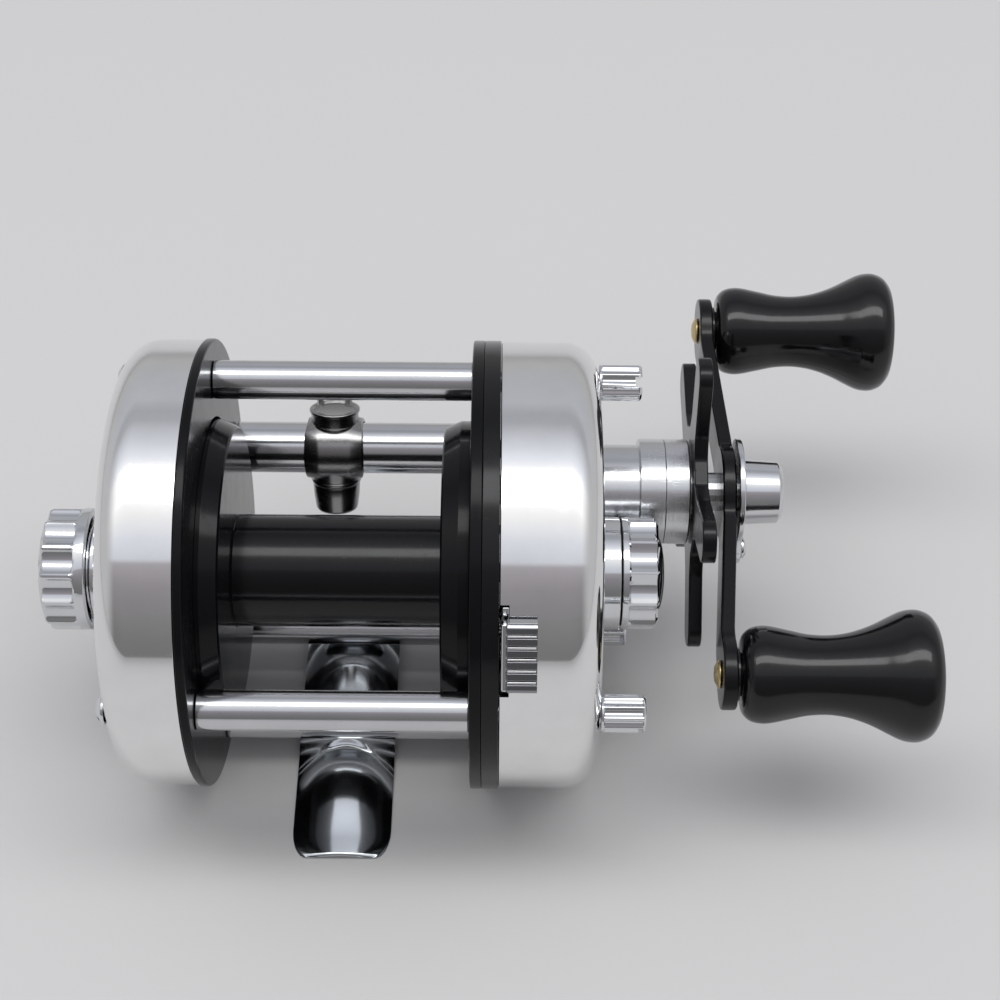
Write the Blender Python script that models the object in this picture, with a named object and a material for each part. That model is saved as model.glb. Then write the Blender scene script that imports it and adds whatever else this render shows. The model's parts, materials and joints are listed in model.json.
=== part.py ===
"""Trolling reel: a round two-plate fishing reel with a level wind, a star drag and a double-knob handle.

Run it with: blender --background --python part.py

X runs along the spool, positive towards the handle. Y points forward, from the angler to the line
guide. Z is up. Sizes are written in millimetres, measured from the middle of the side plates, and
the object "reel" moves them to a frame whose origin is under the middle of the whole reel.
"""

import math

import bmesh
import bpy
from mathutils import Matrix, Vector

MM = 0.001
GAP = 0.3

# Side plates and rings (stations along X)
PLATE_R = 33.0
RING_R = 33.2
LEFT_FACE_X = -55.5
LEFT_RIM_X = -44.1
LEFT_RING_FACE_X = -42.8
RIGHT_RING_X = (-4.8, -3.4)
GEAR_PLATE_X = (-3.1, -0.9)
RIGHT_RIM_X = -0.7
RIGHT_FACE_X = 13.5
SHELL_WALL = 1.2
SHELL_CORNER_R = 5.0
PLATE_SEGMENTS = 36
RING_BORE_R = 22.8

# Axes, as (y, z)
PLATE_AXIS = (0.0, 0.0)
SPOOL_AXIS = (-1.6, 0.0)
HANDLE_AXIS = (15.2, 0.0)
TUBE_AXIS = (26.5, -2.5)
TOP_PILLAR = (16.1, 22.1)
REAR_PILLAR = (-27.4, -0.1)
LOWER_FRONT_PILLAR = (9.4, -26.6)
LOWER_REAR_PILLAR = (-9.4, -26.6)
THUMBSCREWS = {"top": TOP_PILLAR, "rear": REAR_PILLAR, "lower": LOWER_FRONT_PILLAR}
SLOT_TURNS = {"top": math.radians(-47), "rear": math.radians(30), "lower": math.radians(-10)}
DOG_PIVOT = (6.5, -8.5)
PILLAR_R = 2.85

# Spool
SPOOL_ENDS = (-45.25, -4.65)
SPOOL_FACES = (-39.6, -9.0)
FLANGE_R = 22.4
ARBOR_R = 8.3
ARBOR_WALL = 1.4
SHAFT_R = 1.5

# Gears: teeth and the modules that their centre distances give
MAIN_TEETH = 42
PINION_TEETH = 10
WIND_DRIVE_TEETH = 28
WORM_GEAR_TEETH = 15
PRESSURE_ANGLE = math.radians(22)
BACKLASH = 0.16

# Handle
STAR_X = (28.3, 30.4)
STAR_TIP_R = 24.0
STAR_CORNER_R = 2.8
STAR_ANGLE = 9
STAR_ARM_HALF_WIDTH = 3.2
ARM_X = (33.0, 35.1)
ARM_CRANK = 1.6
ARM_EYE_R = 5.2
ARM_HALF_LENGTH = 32.6
REST_ANGLE = math.radians(7.4)
KNOB_X = (34.3, 62.8)
NUT_END_X = 42.6
LOCK_SCREW_R = 8.6
LOCK_SCREW_ANGLE = math.radians(223)

# Line guide, foot and thumb button
GUIDE_X = -27.0
GUIDE_LEAN = math.radians(24)
FOOT_X = -24.5
FOOT_HALF_WIDTH = 7.5
FOOT_HALF_LENGTH = 29.8
FOOT_LAND_Z = -34.2
BUTTON_ANGLE = math.radians(28)
BUTTON_TRAVEL = 4.0
BUTTON_HEAD_R = (33.4, 35.6)
BUTTON_HALF_LENGTH = 5.0

LEFT_CAP_X = (-60.6, -67.6)
KNOB_R = 9.6
REARMOST_Y = -(BUTTON_HEAD_R[1] * math.cos(BUTTON_ANGLE)
               + (BUTTON_HALF_LENGTH - 0.4) * math.sin(BUTTON_ANGLE))
CENTRE_OF_BOX = Vector((
    (KNOB_X[1] + LEFT_CAP_X[1]) / 2,
    (HANDLE_AXIS[0] + ARM_HALF_LENGTH * math.cos(REST_ANGLE) + KNOB_R + REARMOST_Y) / 2,
    FOOT_LAND_Z,
))

MATERIALS = {
    "polished_aluminium": ((0.83, 0.83, 0.82), 0.16, 1.0),
    "machined_aluminium": ((0.72, 0.72, 0.71), 0.34, 1.0),
    "chrome": ((0.78, 0.79, 0.80), 0.08, 1.0),
    "black_anodised": ((0.012, 0.012, 0.014), 0.32, 0.4),
    "black_paint": ((0.012, 0.012, 0.013), 0.22, 0.0),
    "black_plastic": ((0.008, 0.008, 0.009), 0.12, 0.0),
    "brass": ((0.72, 0.52, 0.22), 0.30, 1.0),
    "steel": ((0.50, 0.50, 0.51), 0.30, 1.0),
    "fibre": ((0.16, 0.10, 0.06), 0.80, 0.0),
    "rubber": ((0.015, 0.015, 0.015), 0.75, 0.0),
}


# --- scene helpers ------------------------------------------------------------------------------

def clear_scene():
    for obj in list(bpy.data.objects):
        bpy.data.objects.remove(obj, do_unlink=True)


def make_materials():
    for name, (colour, roughness, metallic) in MATERIALS.items():
        material = bpy.data.materials.new(name)
        material.use_nodes = True
        shader = material.node_tree.nodes["Principled BSDF"]
        shader.inputs["Base Color"].default_value = (*colour, 1.0)
        shader.inputs["Roughness"].default_value = roughness
        shader.inputs["Metallic"].default_value = metallic


def add_pivot(name, at, parent=None):
    """An empty on a joint's axis. Its position is given from the middle of the side plates."""
    pivot = bpy.data.objects.new(name, None)
    bpy.context.scene.collection.objects.link(pivot)
    pivot["at"] = at
    pivot.parent = parent
    from_parent = Vector(at) - Vector(parent["at"]) if parent else Vector(at) - CENTRE_OF_BOX
    pivot.location = from_parent * MM
    return pivot


def add_piece(name, mesh, material, pivot, sharp=35):
    """Turns a bmesh in millimetres into an object whose origin is its pivot."""
    bmesh.ops.recalc_face_normals(mesh, faces=mesh.faces)
    if mesh.calc_volume(signed=True) < 0:
        bmesh.ops.reverse_faces(mesh, faces=mesh.faces)
    bmesh.ops.translate(mesh, vec=-Vector(pivot["at"]), verts=mesh.verts)
    bmesh.ops.scale(mesh, vec=(MM, MM, MM), verts=mesh.verts)
    data = bpy.data.meshes.new(name)
    mesh.to_mesh(data)
    mesh.free()
    data.materials.append(bpy.data.materials[material])
    data.shade_smooth()
    data.set_sharp_from_angle(angle=math.radians(sharp))
    obj = bpy.data.objects.new(name, data)
    bpy.context.scene.collection.objects.link(obj)
    obj.parent = pivot
    return obj


def combine(obj, tool_mesh, operation="DIFFERENCE"):
    """Cuts a hidden tool from a piece, or joins it on."""
    tool = add_piece(obj.name + "_tool", tool_mesh, "steel", obj.parent)
    tool.hide_render = True
    tool.display_type = "WIRE"
    modifier = obj.modifiers.new(operation.lower(), "BOOLEAN")
    modifier.operation = operation
    modifier.solver = "EXACT"
    modifier.object = tool


# --- shape helpers ------------------------------------------------------------------------------

def arc(cx, cr, radius, start, end, steps):
    """Points of a round stretch of a profile, angles in degrees."""
    turns = [math.radians(start + (end - start) * i / steps) for i in range(steps + 1)]
    return [(cx + radius * math.cos(t), cr + radius * math.sin(t)) for t in turns]


def turned(profile, axis=PLATE_AXIS, segments=32, angles=None):
    """A turned solid about X. Each profile point is (x, r), and r may be a list with one radius
    per angle. A profile that starts and ends at r = 0 is closed on the axis, and any other profile
    closes on itself as a ring."""
    mesh = bmesh.new()
    angles = angles or [2 * math.pi * i / segments for i in range(segments)]
    count = len(angles)
    rings = []
    for x, r in profile:
        if r == 0:
            rings.append([mesh.verts.new((x, axis[0], axis[1]))] * count)
            continue
        radii = r if isinstance(r, list) else [r] * count
        rings.append([
            mesh.verts.new((x, axis[0] + radii[i] * math.cos(a), axis[1] + radii[i] * math.sin(a)))
            for i, a in enumerate(angles)
        ])
    on_axis = profile[0][1] == 0
    pairs = list(zip(rings, rings[1:])) + ([] if on_axis else [(rings[-1], rings[0])])
    for first, second in pairs:
        for i in range(count):
            j = (i + 1) % count
            corners = [first[i], first[j], second[j], second[i]]
            mesh.faces.new(list(dict.fromkeys(corners)))
    return mesh


def upright(mesh, at, lean=0.0):
    """Stands a shape that was turned about X on its end, so that its x becomes z above at.

    The lean tips its top towards the front, +Y.
    """
    turn = Matrix.Rotation(-lean, 4, "X") @ Matrix.Rotation(-math.pi / 2, 4, "Y")
    mesh.transform(Matrix.Translation(at) @ turn)
    return mesh


def plate(x_range, outer, holes=()):
    """A flat plate across X, from its outline and its holes, each a list of (y, z)."""
    mesh = bmesh.new()
    sides = []
    for x in x_range:
        edges = []
        loops = []
        for outline in (outer, *holes):
            verts = [mesh.verts.new((x, y, z)) for y, z in outline]
            edges += [mesh.edges.new((a, b)) for a, b in zip(verts, verts[1:] + verts[:1])]
            loops.append(verts)
        bmesh.ops.triangle_fill(mesh, use_beauty=True, use_dissolve=False, edges=edges)
        sides.append(loops)
    for low, high in zip(*sides):
        for i in range(len(low)):
            j = (i + 1) % len(low)
            mesh.faces.new((low[i], low[j], high[j], high[i]))
    return mesh


def circle(centre, radius, segments=24):
    turns = [2 * math.pi * i / segments for i in range(segments)]
    return [(centre[0] + radius * math.cos(t), centre[1] + radius * math.sin(t)) for t in turns]


def box(low, high):
    mesh = bmesh.new()
    bmesh.ops.create_cube(mesh, size=1.0)
    size = Vector(high) - Vector(low)
    bmesh.ops.scale(mesh, vec=size, verts=mesh.verts)
    bmesh.ops.translate(mesh, vec=(Vector(high) + Vector(low)) / 2, verts=mesh.verts)
    return mesh


def rod(x_range, radius, axis, segments=16):
    return turned([(x_range[0], 0), (x_range[0], radius), (x_range[1], radius), (x_range[1], 0)],
                  axis, segments)


def ring(x_range, outer_r, inner_r, axis, segments=24):
    return turned([(x_range[0], inner_r), (x_range[0], outer_r), (x_range[1], outer_r),
                   (x_range[1], inner_r)], axis, segments)


def outward(angle):
    """The direction in (y, z) at an angle above the rear horizontal."""
    return Vector((0.0, -math.cos(angle), math.sin(angle)))


# --- gear teeth ---------------------------------------------------------------------------------

def involute(angle):
    return math.tan(angle) - angle


def gear_points(teeth, module, phase):
    """(angle, radius) along the teeth, six points a tooth, one tooth centred on the phase."""
    pitch = teeth * module / 2
    base = pitch * math.cos(PRESSURE_ANGLE)
    tip = pitch + 0.75 * module
    root = pitch - 1.0 * module
    half = (math.pi * module / 2 - BACKLASH) / 2 / pitch

    def half_angle(radius):
        at = math.acos(min(1.0, base / max(radius, base)))
        return half + involute(PRESSURE_ANGLE) - involute(at)

    flank = [(root, half_angle(base)), (pitch, half), (tip, half_angle(tip))]
    points = []
    for tooth in range(teeth):
        middle = phase + 2 * math.pi * tooth / teeth
        points += [(middle - a, r) for r, a in flank]
        points += [(middle + a, r) for r, a in reversed(flank)]
    return points


def gear_outline(teeth, module, centre, phase):
    return [(centre[0] + r * math.cos(a), centre[1] + r * math.sin(a))
            for a, r in gear_points(teeth, module, phase)]


def direction(start, end):
    return math.atan2(end[1] - start[1], end[0] - start[0])


def distance(start, end):
    return math.hypot(end[0] - start[0], end[1] - start[1])


# --- flutes and knurls --------------------------------------------------------------------------

def fluted(radius, depth, flutes, per_flute=4):
    """Radii round a grip with scooped flutes, and the angles that they belong to."""
    count = flutes * per_flute
    radii = [radius - depth * math.sin(math.pi * (i % per_flute) / per_flute) ** 0.8
             for i in range(count)]
    return radii, [2 * math.pi * i / count for i in range(count)]


# --- frame --------------------------------------------------------------------------------------

def left_shell_profile():
    inner = PLATE_R - SHELL_WALL
    corner = arc(LEFT_FACE_X + SHELL_CORNER_R, PLATE_R - SHELL_CORNER_R, SHELL_CORNER_R, 90, 180, 4)
    inside = arc(LEFT_FACE_X + SHELL_CORNER_R, PLATE_R - SHELL_CORNER_R,
                 SHELL_CORNER_R - SHELL_WALL, 180, 90, 2)
    return [(LEFT_RIM_X, inner), (LEFT_RIM_X, PLATE_R), *corner, (LEFT_FACE_X, 0),
            (LEFT_FACE_X + SHELL_WALL, 0), *inside]


def right_shell_profile():
    inner = PLATE_R - SHELL_WALL
    corner = arc(RIGHT_FACE_X - SHELL_CORNER_R, PLATE_R - SHELL_CORNER_R, SHELL_CORNER_R, 90, 0, 4)
    inside = arc(RIGHT_FACE_X - SHELL_CORNER_R, PLATE_R - SHELL_CORNER_R,
                 SHELL_CORNER_R - SHELL_WALL, 0, 90, 2)
    return [(RIGHT_RIM_X, inner), (RIGHT_RIM_X, PLATE_R), *corner, (RIGHT_FACE_X, 0),
            (RIGHT_FACE_X - SHELL_WALL, 0), *inside]


def closed_cup(profile, segments):
    """A cup whose profile meets the axis twice, at its outer and its inner face."""
    split = next(i for i, point in enumerate(profile) if point[1] == 0)
    return turned(profile[split + 1:] + profile[:split + 1], PLATE_AXIS, segments)


def build_shells(frame):
    left = add_piece("left_side_plate", closed_cup(left_shell_profile(), PLATE_SEGMENTS),
                     "polished_aluminium", frame)
    combine(left, rod((LEFT_FACE_X - 1, LEFT_FACE_X + 3), 6.1, SPOOL_AXIS, 18))
    for axis in (TOP_PILLAR, REAR_PILLAR):
        combine(left, rod((LEFT_FACE_X - 1, LEFT_FACE_X + 3), 1.55, axis, 8))
    right = add_piece("right_side_plate", closed_cup(right_shell_profile(), PLATE_SEGMENTS),
                      "polished_aluminium", frame)
    wall = (RIGHT_FACE_X - 3, RIGHT_FACE_X + 1)
    combine(right, rod(wall, 6.4, SPOOL_AXIS, 18))
    combine(right, rod(wall, 6.6, HANDLE_AXIS, 18))
    for axis in THUMBSCREWS.values():
        combine(right, rod(wall, 1.9, axis, 8))
    combine(right, button_block((RIGHT_RIM_X - 1, 1.2), (29.0, 35.0), (-6.4, 2.8 + BUTTON_TRAVEL)))


def build_rings(frame):
    left = add_piece("left_frame_ring", turned([
        (LEFT_RING_FACE_X, 0), (LEFT_RING_FACE_X, RING_R - 0.3), (LEFT_RING_FACE_X - 0.3, RING_R),
        (-43.8, RING_R), (-43.8, 31.7), (-45.7, 31.7), (-45.7, 0)], PLATE_AXIS, PLATE_SEGMENTS),
        "black_anodised", frame)
    combine(left, rod((-47, -40), RING_BORE_R, SPOOL_AXIS, PLATE_SEGMENTS))
    combine(left, rod((-47, -40), 2.9, TUBE_AXIS, 12))
    screws = [circle(axis, 1.8, 8) for axis in THUMBSCREWS.values()]
    bush = circle(TUBE_AXIS, 2.9, 12)
    outer = circle(PLATE_AXIS, RING_R, PLATE_SEGMENTS)
    add_piece("right_frame_ring", plate(RIGHT_RING_X, outer, [
        circle(SPOOL_AXIS, RING_BORE_R, PLATE_SEGMENTS), bush, *screws]), "black_anodised", frame)
    posts = [circle(at, 1.0, 8) for at in yoke_post_places()]
    add_piece("gear_side_plate", plate(GEAR_PLATE_X, outer, [
        circle(SPOOL_AXIS, 4.5, 16), circle(HANDLE_AXIS, 2.65, 16), bush, *screws, *posts,
        circle(DOG_PIVOT, 0.85, 8)]), "black_anodised", frame)


def build_pillars(frame):
    left, right = LEFT_RING_FACE_X + GAP, RIGHT_RING_X[0] - GAP
    places = {"top_pillar": TOP_PILLAR, "rear_pillar": REAR_PILLAR,
              "lower_front_pillar": LOWER_FRONT_PILLAR, "lower_rear_pillar": LOWER_REAR_PILLAR}
    for name, axis in places.items():
        profile = [(left, 0), (left, 2.5), (left + 0.4, 2.5), (left + 0.6, PILLAR_R),
                   (right - 0.6, PILLAR_R), (right - 0.4, 2.5), (right, 2.5), (right, 0)]
        add_piece(name, turned(profile, axis, 16), "chrome", frame)


def foot_rise(y):
    """How far the middle of the foot stands above its blades."""
    t = min(1.0, max(0.0, (13.0 - abs(y)) / 5.0))
    return 1.6 * t * t * (3 - 2 * t)


def foot_half_width(y):
    past = max(0.0, abs(y) - (FOOT_HALF_LENGTH - 5.0)) / 5.0
    return FOOT_HALF_WIDTH - 2.5 * (1 - math.sqrt(max(0.0, 1 - past * past)))


def foot_top(q, y):
    return FOOT_LAND_Z + foot_rise(y) + 0.9 + 2.3 * (1 - q * q)


def foot_bottom(q, y):
    arch = 1.6 * max(0.0, 1 - (q / 0.72) ** 2)
    return FOOT_LAND_Z + foot_rise(y) + arch


def build_foot(frame):
    across = [-1, -0.72, -0.5, -0.25, 0, 0.25, 0.5, 0.72, 1]
    end = FOOT_HALF_LENGTH
    along = [-end, 0.7 - end, 2.0 - end, 3.7 - end, 5.0 - end, -19, -13, -11.5, -10, -8, 0]
    along += [-y for y in reversed(along[:-1])]
    mesh = bmesh.new()
    rows = []
    for y in along:
        width = foot_half_width(y)
        top = [mesh.verts.new((FOOT_X + q * width, y, foot_top(q, y))) for q in across]
        bottom = [mesh.verts.new((FOOT_X + q * width, y, foot_bottom(q, y)))
                  for q in reversed(across)]
        rows.append(top + bottom)
    for first, second in zip(rows, rows[1:]):
        for i in range(len(first)):
            j = (i + 1) % len(first)
            mesh.faces.new((first[i], first[j], second[j], second[i]))
    half = len(across)
    for row in (rows[0], rows[-1]):
        for i in range(half - 1):
            mesh.faces.new((row[i], row[i + 1], row[2 * half - 2 - i], row[2 * half - 1 - i]))
    add_piece("reel_foot", mesh, "chrome", frame)


def build_left_screws(frame):
    places = {"top": TOP_PILLAR, "rear": REAR_PILLAR}
    face = LEFT_FACE_X - 0.1
    for name, axis in places.items():
        profile = [(face - 1.3, 0), (face - 1.2, 1.2), (face - 0.6, 2.1), (face, 2.3), (face, 1.2),
                   (-46.0, 1.2), (-46.0, 0)]
        add_piece(f"left_screw_{name}", turned(profile, axis, 12), "chrome", frame)


# --- bearings and caps at the ends of the spool -------------------------------------------------

def build_spool_ends(frame, left_cap, cast_cap):
    face = LEFT_FACE_X - 0.2
    add_piece("left_bearing_housing", turned([
        (-54.0, 4.3), (-54.0, 5.7), (face, 5.7), (face, 8.6), (-60.3, 8.6), (-60.3, 6.1),
        (-65.0, 6.1), (-65.0, 4.3)], SPOOL_AXIS, 24), "chrome", frame)
    add_piece("left_spool_bearing", ring((-63.2, -60.8), 4.0, 1.8, SPOOL_AXIS, 16), "steel", frame)
    grip, angles = fluted(9.05, 0.85, 13)
    start, end = LEFT_CAP_X
    add_piece("left_cap", turned([
        (-66.9, 0), (-66.9, 6.5), (start, 6.5), (start, 8.8), (start - 0.3, 9.05), (-62.4, 9.05),
        (-62.6, grip), (end + 0.4, grip), (end, [r - 0.4 for r in grip]), (end, 6.0),
        (end + 0.4, 5.6), (end + 0.4, 0)], SPOOL_AXIS, angles=angles), "chrome", left_cap)

    add_piece("cast_control_housing", turned([
        (12.4, 4.3), (12.4, 6.0), (13.8, 6.0), (13.8, 8.35), (16.7, 8.35), (16.7, 5.9),
        (19.9, 5.9), (19.9, 4.3)], SPOOL_AXIS, 24), "chrome", frame)
    add_piece("right_spool_bearing", ring((15.6, 18.0), 4.0, 1.8, SPOOL_AXIS, 16), "steel", frame)
    add_piece("cast_control_o_ring", turned(
        [(x, 7.7 + r) for x, r in arc(17.0, 0, 0.22, 0, 270, 3)], SPOOL_AXIS, 16), "rubber",
        cast_cap)
    grip, angles = fluted(8.35, 0.85, 11)
    add_piece("cast_control_cap", turned([
        (21.2, 0), (21.2, 6.2), (17.3, 6.2), (17.3, 8.35), (18.4, 8.35), (18.6, grip),
        (22.2, grip), (22.6, [r - 0.4 for r in grip]), (22.6, 6.0), (22.1, 5.9), (22.1, 0)],
        SPOOL_AXIS, angles=angles), "chrome", cast_cap)
    add_piece("cast_cap_insert", turned([
        (22.3, 0), (22.3, 5.6), (22.8, 5.6), (23.3, 4.6), (23.7, 0)], SPOOL_AXIS, 16),
        "black_plastic", cast_cap)


# --- spool --------------------------------------------------------------------------------------

def build_spool(spool):
    left, right = SPOOL_ENDS
    left_face, right_face = SPOOL_FACES
    left_web, right_web = left + 4.4, right - 4.4
    inner = ARBOR_R - ARBOR_WALL
    profile = [
        (left + 1.9, 1.8), (left + 1.9, 19.5), (left, 20.6), (left, FLANGE_R - 0.4),
        (left + 0.4, FLANGE_R), (left_face - 2.4, FLANGE_R), (left_face, 21.3), (left_face, ARBOR_R),
        (right_face, ARBOR_R), (right_face, 21.3), (right_face + 2.4, FLANGE_R),
        (right - 0.4, FLANGE_R), (right, FLANGE_R - 0.4), (right, 20.6), (right - 1.9, 19.5),
        (right - 1.9, 1.8), (right_web, 1.8), (right_web, inner), (left_web, inner), (left_web, 1.8)]
    add_piece("spool", turned(profile, SPOOL_AXIS, 30), "black_anodised", spool)
    add_piece("spool_shaft", turned([
        (-65.8, 0), (-65.8, SHAFT_R), (20.2, SHAFT_R), (20.2, 0)], SPOOL_AXIS, 12), "steel", spool)


# --- handle side gears --------------------------------------------------------------------------

def yoke_post_places():
    return [(SPOOL_AXIS[0], 9.5), (SPOOL_AXIS[0], -9.5)]


def build_gears(handle, pinion_slide, worm):
    to_spool = direction(HANDLE_AXIS, SPOOL_AXIS)
    module = 2 * distance(HANDLE_AXIS, SPOOL_AXIS) / (MAIN_TEETH + PINION_TEETH)
    add_piece("main_gear", plate((4.4, 6.8), gear_outline(MAIN_TEETH, module, HANDLE_AXIS, to_spool),
                                 [circle(HANDLE_AXIS, 3.3, 20)]), "brass", handle)
    gap_phase = to_spool + math.pi + math.pi / PINION_TEETH
    points = gear_points(PINION_TEETH, module, gap_phase)
    angles = [a for a, r in points]
    teeth = [r for a, r in points]
    add_piece("pinion", turned([
        (3.9, 1.75), (3.9, teeth), (8.3, teeth), (8.3, 2.45), (9.8, 2.45), (9.8, 3.5), (10.5, 3.5),
        (10.5, 1.75)], SPOOL_AXIS, angles=angles), "brass", pinion_slide)

    to_worm = direction(HANDLE_AXIS, TUBE_AXIS)
    module = 2 * distance(HANDLE_AXIS, TUBE_AXIS) / (WIND_DRIVE_TEETH + WORM_GEAR_TEETH)
    add_piece("level_wind_drive_gear", plate(
        (0.2, 2.0), gear_outline(WIND_DRIVE_TEETH, module, HANDLE_AXIS, to_worm),
        [circle(HANDLE_AXIS, 3.3, 20)]), "brass", handle)
    gap_phase = to_worm + math.pi + math.pi / WORM_GEAR_TEETH
    add_piece("worm_gear", plate(
        (0.1, 2.1), gear_outline(WORM_GEAR_TEETH, module, TUBE_AXIS, gap_phase),
        [circle(TUBE_AXIS, 1.8, 16)]), "black_plastic", worm)


def build_drive(frame, handle, dog):
    add_piece("drive_shaft", turned([
        (-2.8, 0), (-2.8, 2.3), (-0.1, 2.3), (-0.1, 3.0), (41.0, 3.0), (41.5, 2.5), (41.5, 0)],
        HANDLE_AXIS, 20), "steel", handle)
    teeth = 12
    outline = []
    for tooth in range(teeth):
        for share, radius in ((0.0, 5.0), (0.12, 6.2), (0.5, 5.7)):
            angle = 2 * math.pi * (tooth + share) / teeth
            outline.append((HANDLE_AXIS[0] + radius * math.cos(angle),
                            HANDLE_AXIS[1] + radius * math.sin(angle)))
    add_piece("ratchet", plate((2.4, 3.7), outline, [circle(HANDLE_AXIS, 3.3, 20)]), "steel", handle)
    y, z = DOG_PIVOT
    add_piece("anti_reverse_dog", plate((2.5, 3.6), [
        (y - 1.6, z + 1.0), (y - 1.8, z - 0.8), (y - 0.6, z - 1.9), (y + 1.2, z - 1.6),
        (y + 2.4, z - 0.2), (y + 4.0, z + 3.0), (y + 3.3, z + 3.6), (y + 0.9, z + 2.0)],
        [circle(DOG_PIVOT, 1.1, 12)]), "steel", dog)
    add_piece("dog_post", turned([
        (-1.6, 0), (-1.6, 0.6), (-0.6, 0.6), (-0.6, 0.8), (4.0, 0.8), (4.0, 0)], DOG_PIVOT, 10),
        "steel", frame)
    for name, x_range, radius, material in (
            ("fibre_drag_washer", (7.1, 7.8), 10.5, "fibre"),
            ("steel_drag_washer", (8.1, 9.5), 10.5, "steel")):
        add_piece(name, ring(x_range, radius, 3.3, HANDLE_AXIS), material, handle)


def build_clutch(frame, button, yoke):
    for place, side in zip(yoke_post_places(), ("upper", "lower")):
        add_piece(f"yoke_post_{side}", turned([
            (-2.6, 0), (-2.6, 0.7), (-0.6, 0.7), (-0.6, 1.1), (12.0, 1.1), (12.0, 0)], place, 12),
            "steel", frame)
    y = SPOOL_AXIS[0]
    notch = [(y + 2.8 * math.cos(a), 2.8 * math.sin(a))
             for a in (math.radians(90 + 22.5 * i) for i in range(9))]
    outline = [(y + 3.2, 2.8), *notch, (y + 3.2, -2.8), (y + 3.2, -12.2), (y + 1.8, -13.2),
               (y - 2.0, -13.2), (y - 4.4, -11.0), (y - 4.6, -1.4), (-11.4, -0.6), (-11.4, 0.6),
               (y - 4.6, 1.4), (y - 4.4, 11.0), (y - 2.0, 13.2), (y + 1.8, 13.2), (y + 3.2, 12.2)]
    body = add_piece("yoke", plate((8.7, 9.5), outline, [
        circle(at, 1.4, 12) for at in yoke_post_places()]), "steel", yoke)
    combine(body, box((0.9, -11.2, -0.5), (9.1, -9.6, 0.5)), "UNION")


# --- thumb button -------------------------------------------------------------------------------

def button_frame():
    """Turns (x, outward, along the travel) into (x, y, z)."""
    out = outward(BUTTON_ANGLE)
    down = Vector((0.0, -math.sin(BUTTON_ANGLE), -math.cos(BUTTON_ANGLE)))
    return Matrix(((1, out.x, down.x), (0, out.y, down.y), (0, out.z, down.z))).to_4x4()


def button_block(x_range, out_range, down_range):
    mesh = box((x_range[0], out_range[0], down_range[0]), (x_range[1], out_range[1], down_range[1]))
    mesh.transform(button_frame())
    return mesh


def ribbed_head(x_range, out_range, half_length, ribs):
    """The button's head: a block whose outer face has grooves across the travel."""
    low, high = out_range
    pitch = 2 * half_length / (ribs + 1)
    outline = [(low, -half_length), (high - 0.5, -half_length), (high, -half_length + 0.4)]
    for rib in range(ribs):
        middle = -half_length + pitch * (rib + 1)
        outline += [(high, middle - 0.45), (high - 0.5, middle - 0.2), (high - 0.5, middle + 0.2),
                    (high, middle + 0.45)]
    outline += [(high, half_length - 0.4), (high - 0.5, half_length), (low, half_length)]
    mesh = plate(x_range, outline)
    mesh.transform(button_frame())
    return mesh


def build_button(button):
    head = add_piece("thumb_button", ribbed_head(
        (-0.4, 4.4), BUTTON_HEAD_R, BUTTON_HALF_LENGTH, 5), "chrome", button)
    combine(head, button_block((-0.4, 0.9), (30.6, 33.9), (-2.5, 2.5)), "UNION")
    slide = add_piece("clutch_slide", button_block((-0.4, 0.6), (6.8, 30.3), (-4.0, 4.0)), "steel",
                      button)
    wedge = bmesh.new()
    outline = [(-0.1, 3.6), (0.6, 3.6), (2.4, -0.9), (2.4, -3.4), (-0.1, -3.4)]
    near = [wedge.verts.new((x, 7.2, down)) for x, down in outline]
    far = [wedge.verts.new((x, 12.0, down)) for x, down in outline]
    wedge.faces.new(near)
    wedge.faces.new(far)
    for i in range(len(outline)):
        j = (i + 1) % len(outline)
        wedge.faces.new((near[i], near[j], far[j], far[i]))
    wedge.transform(button_frame())
    combine(slide, wedge, "UNION")


# --- level wind ---------------------------------------------------------------------------------

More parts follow.
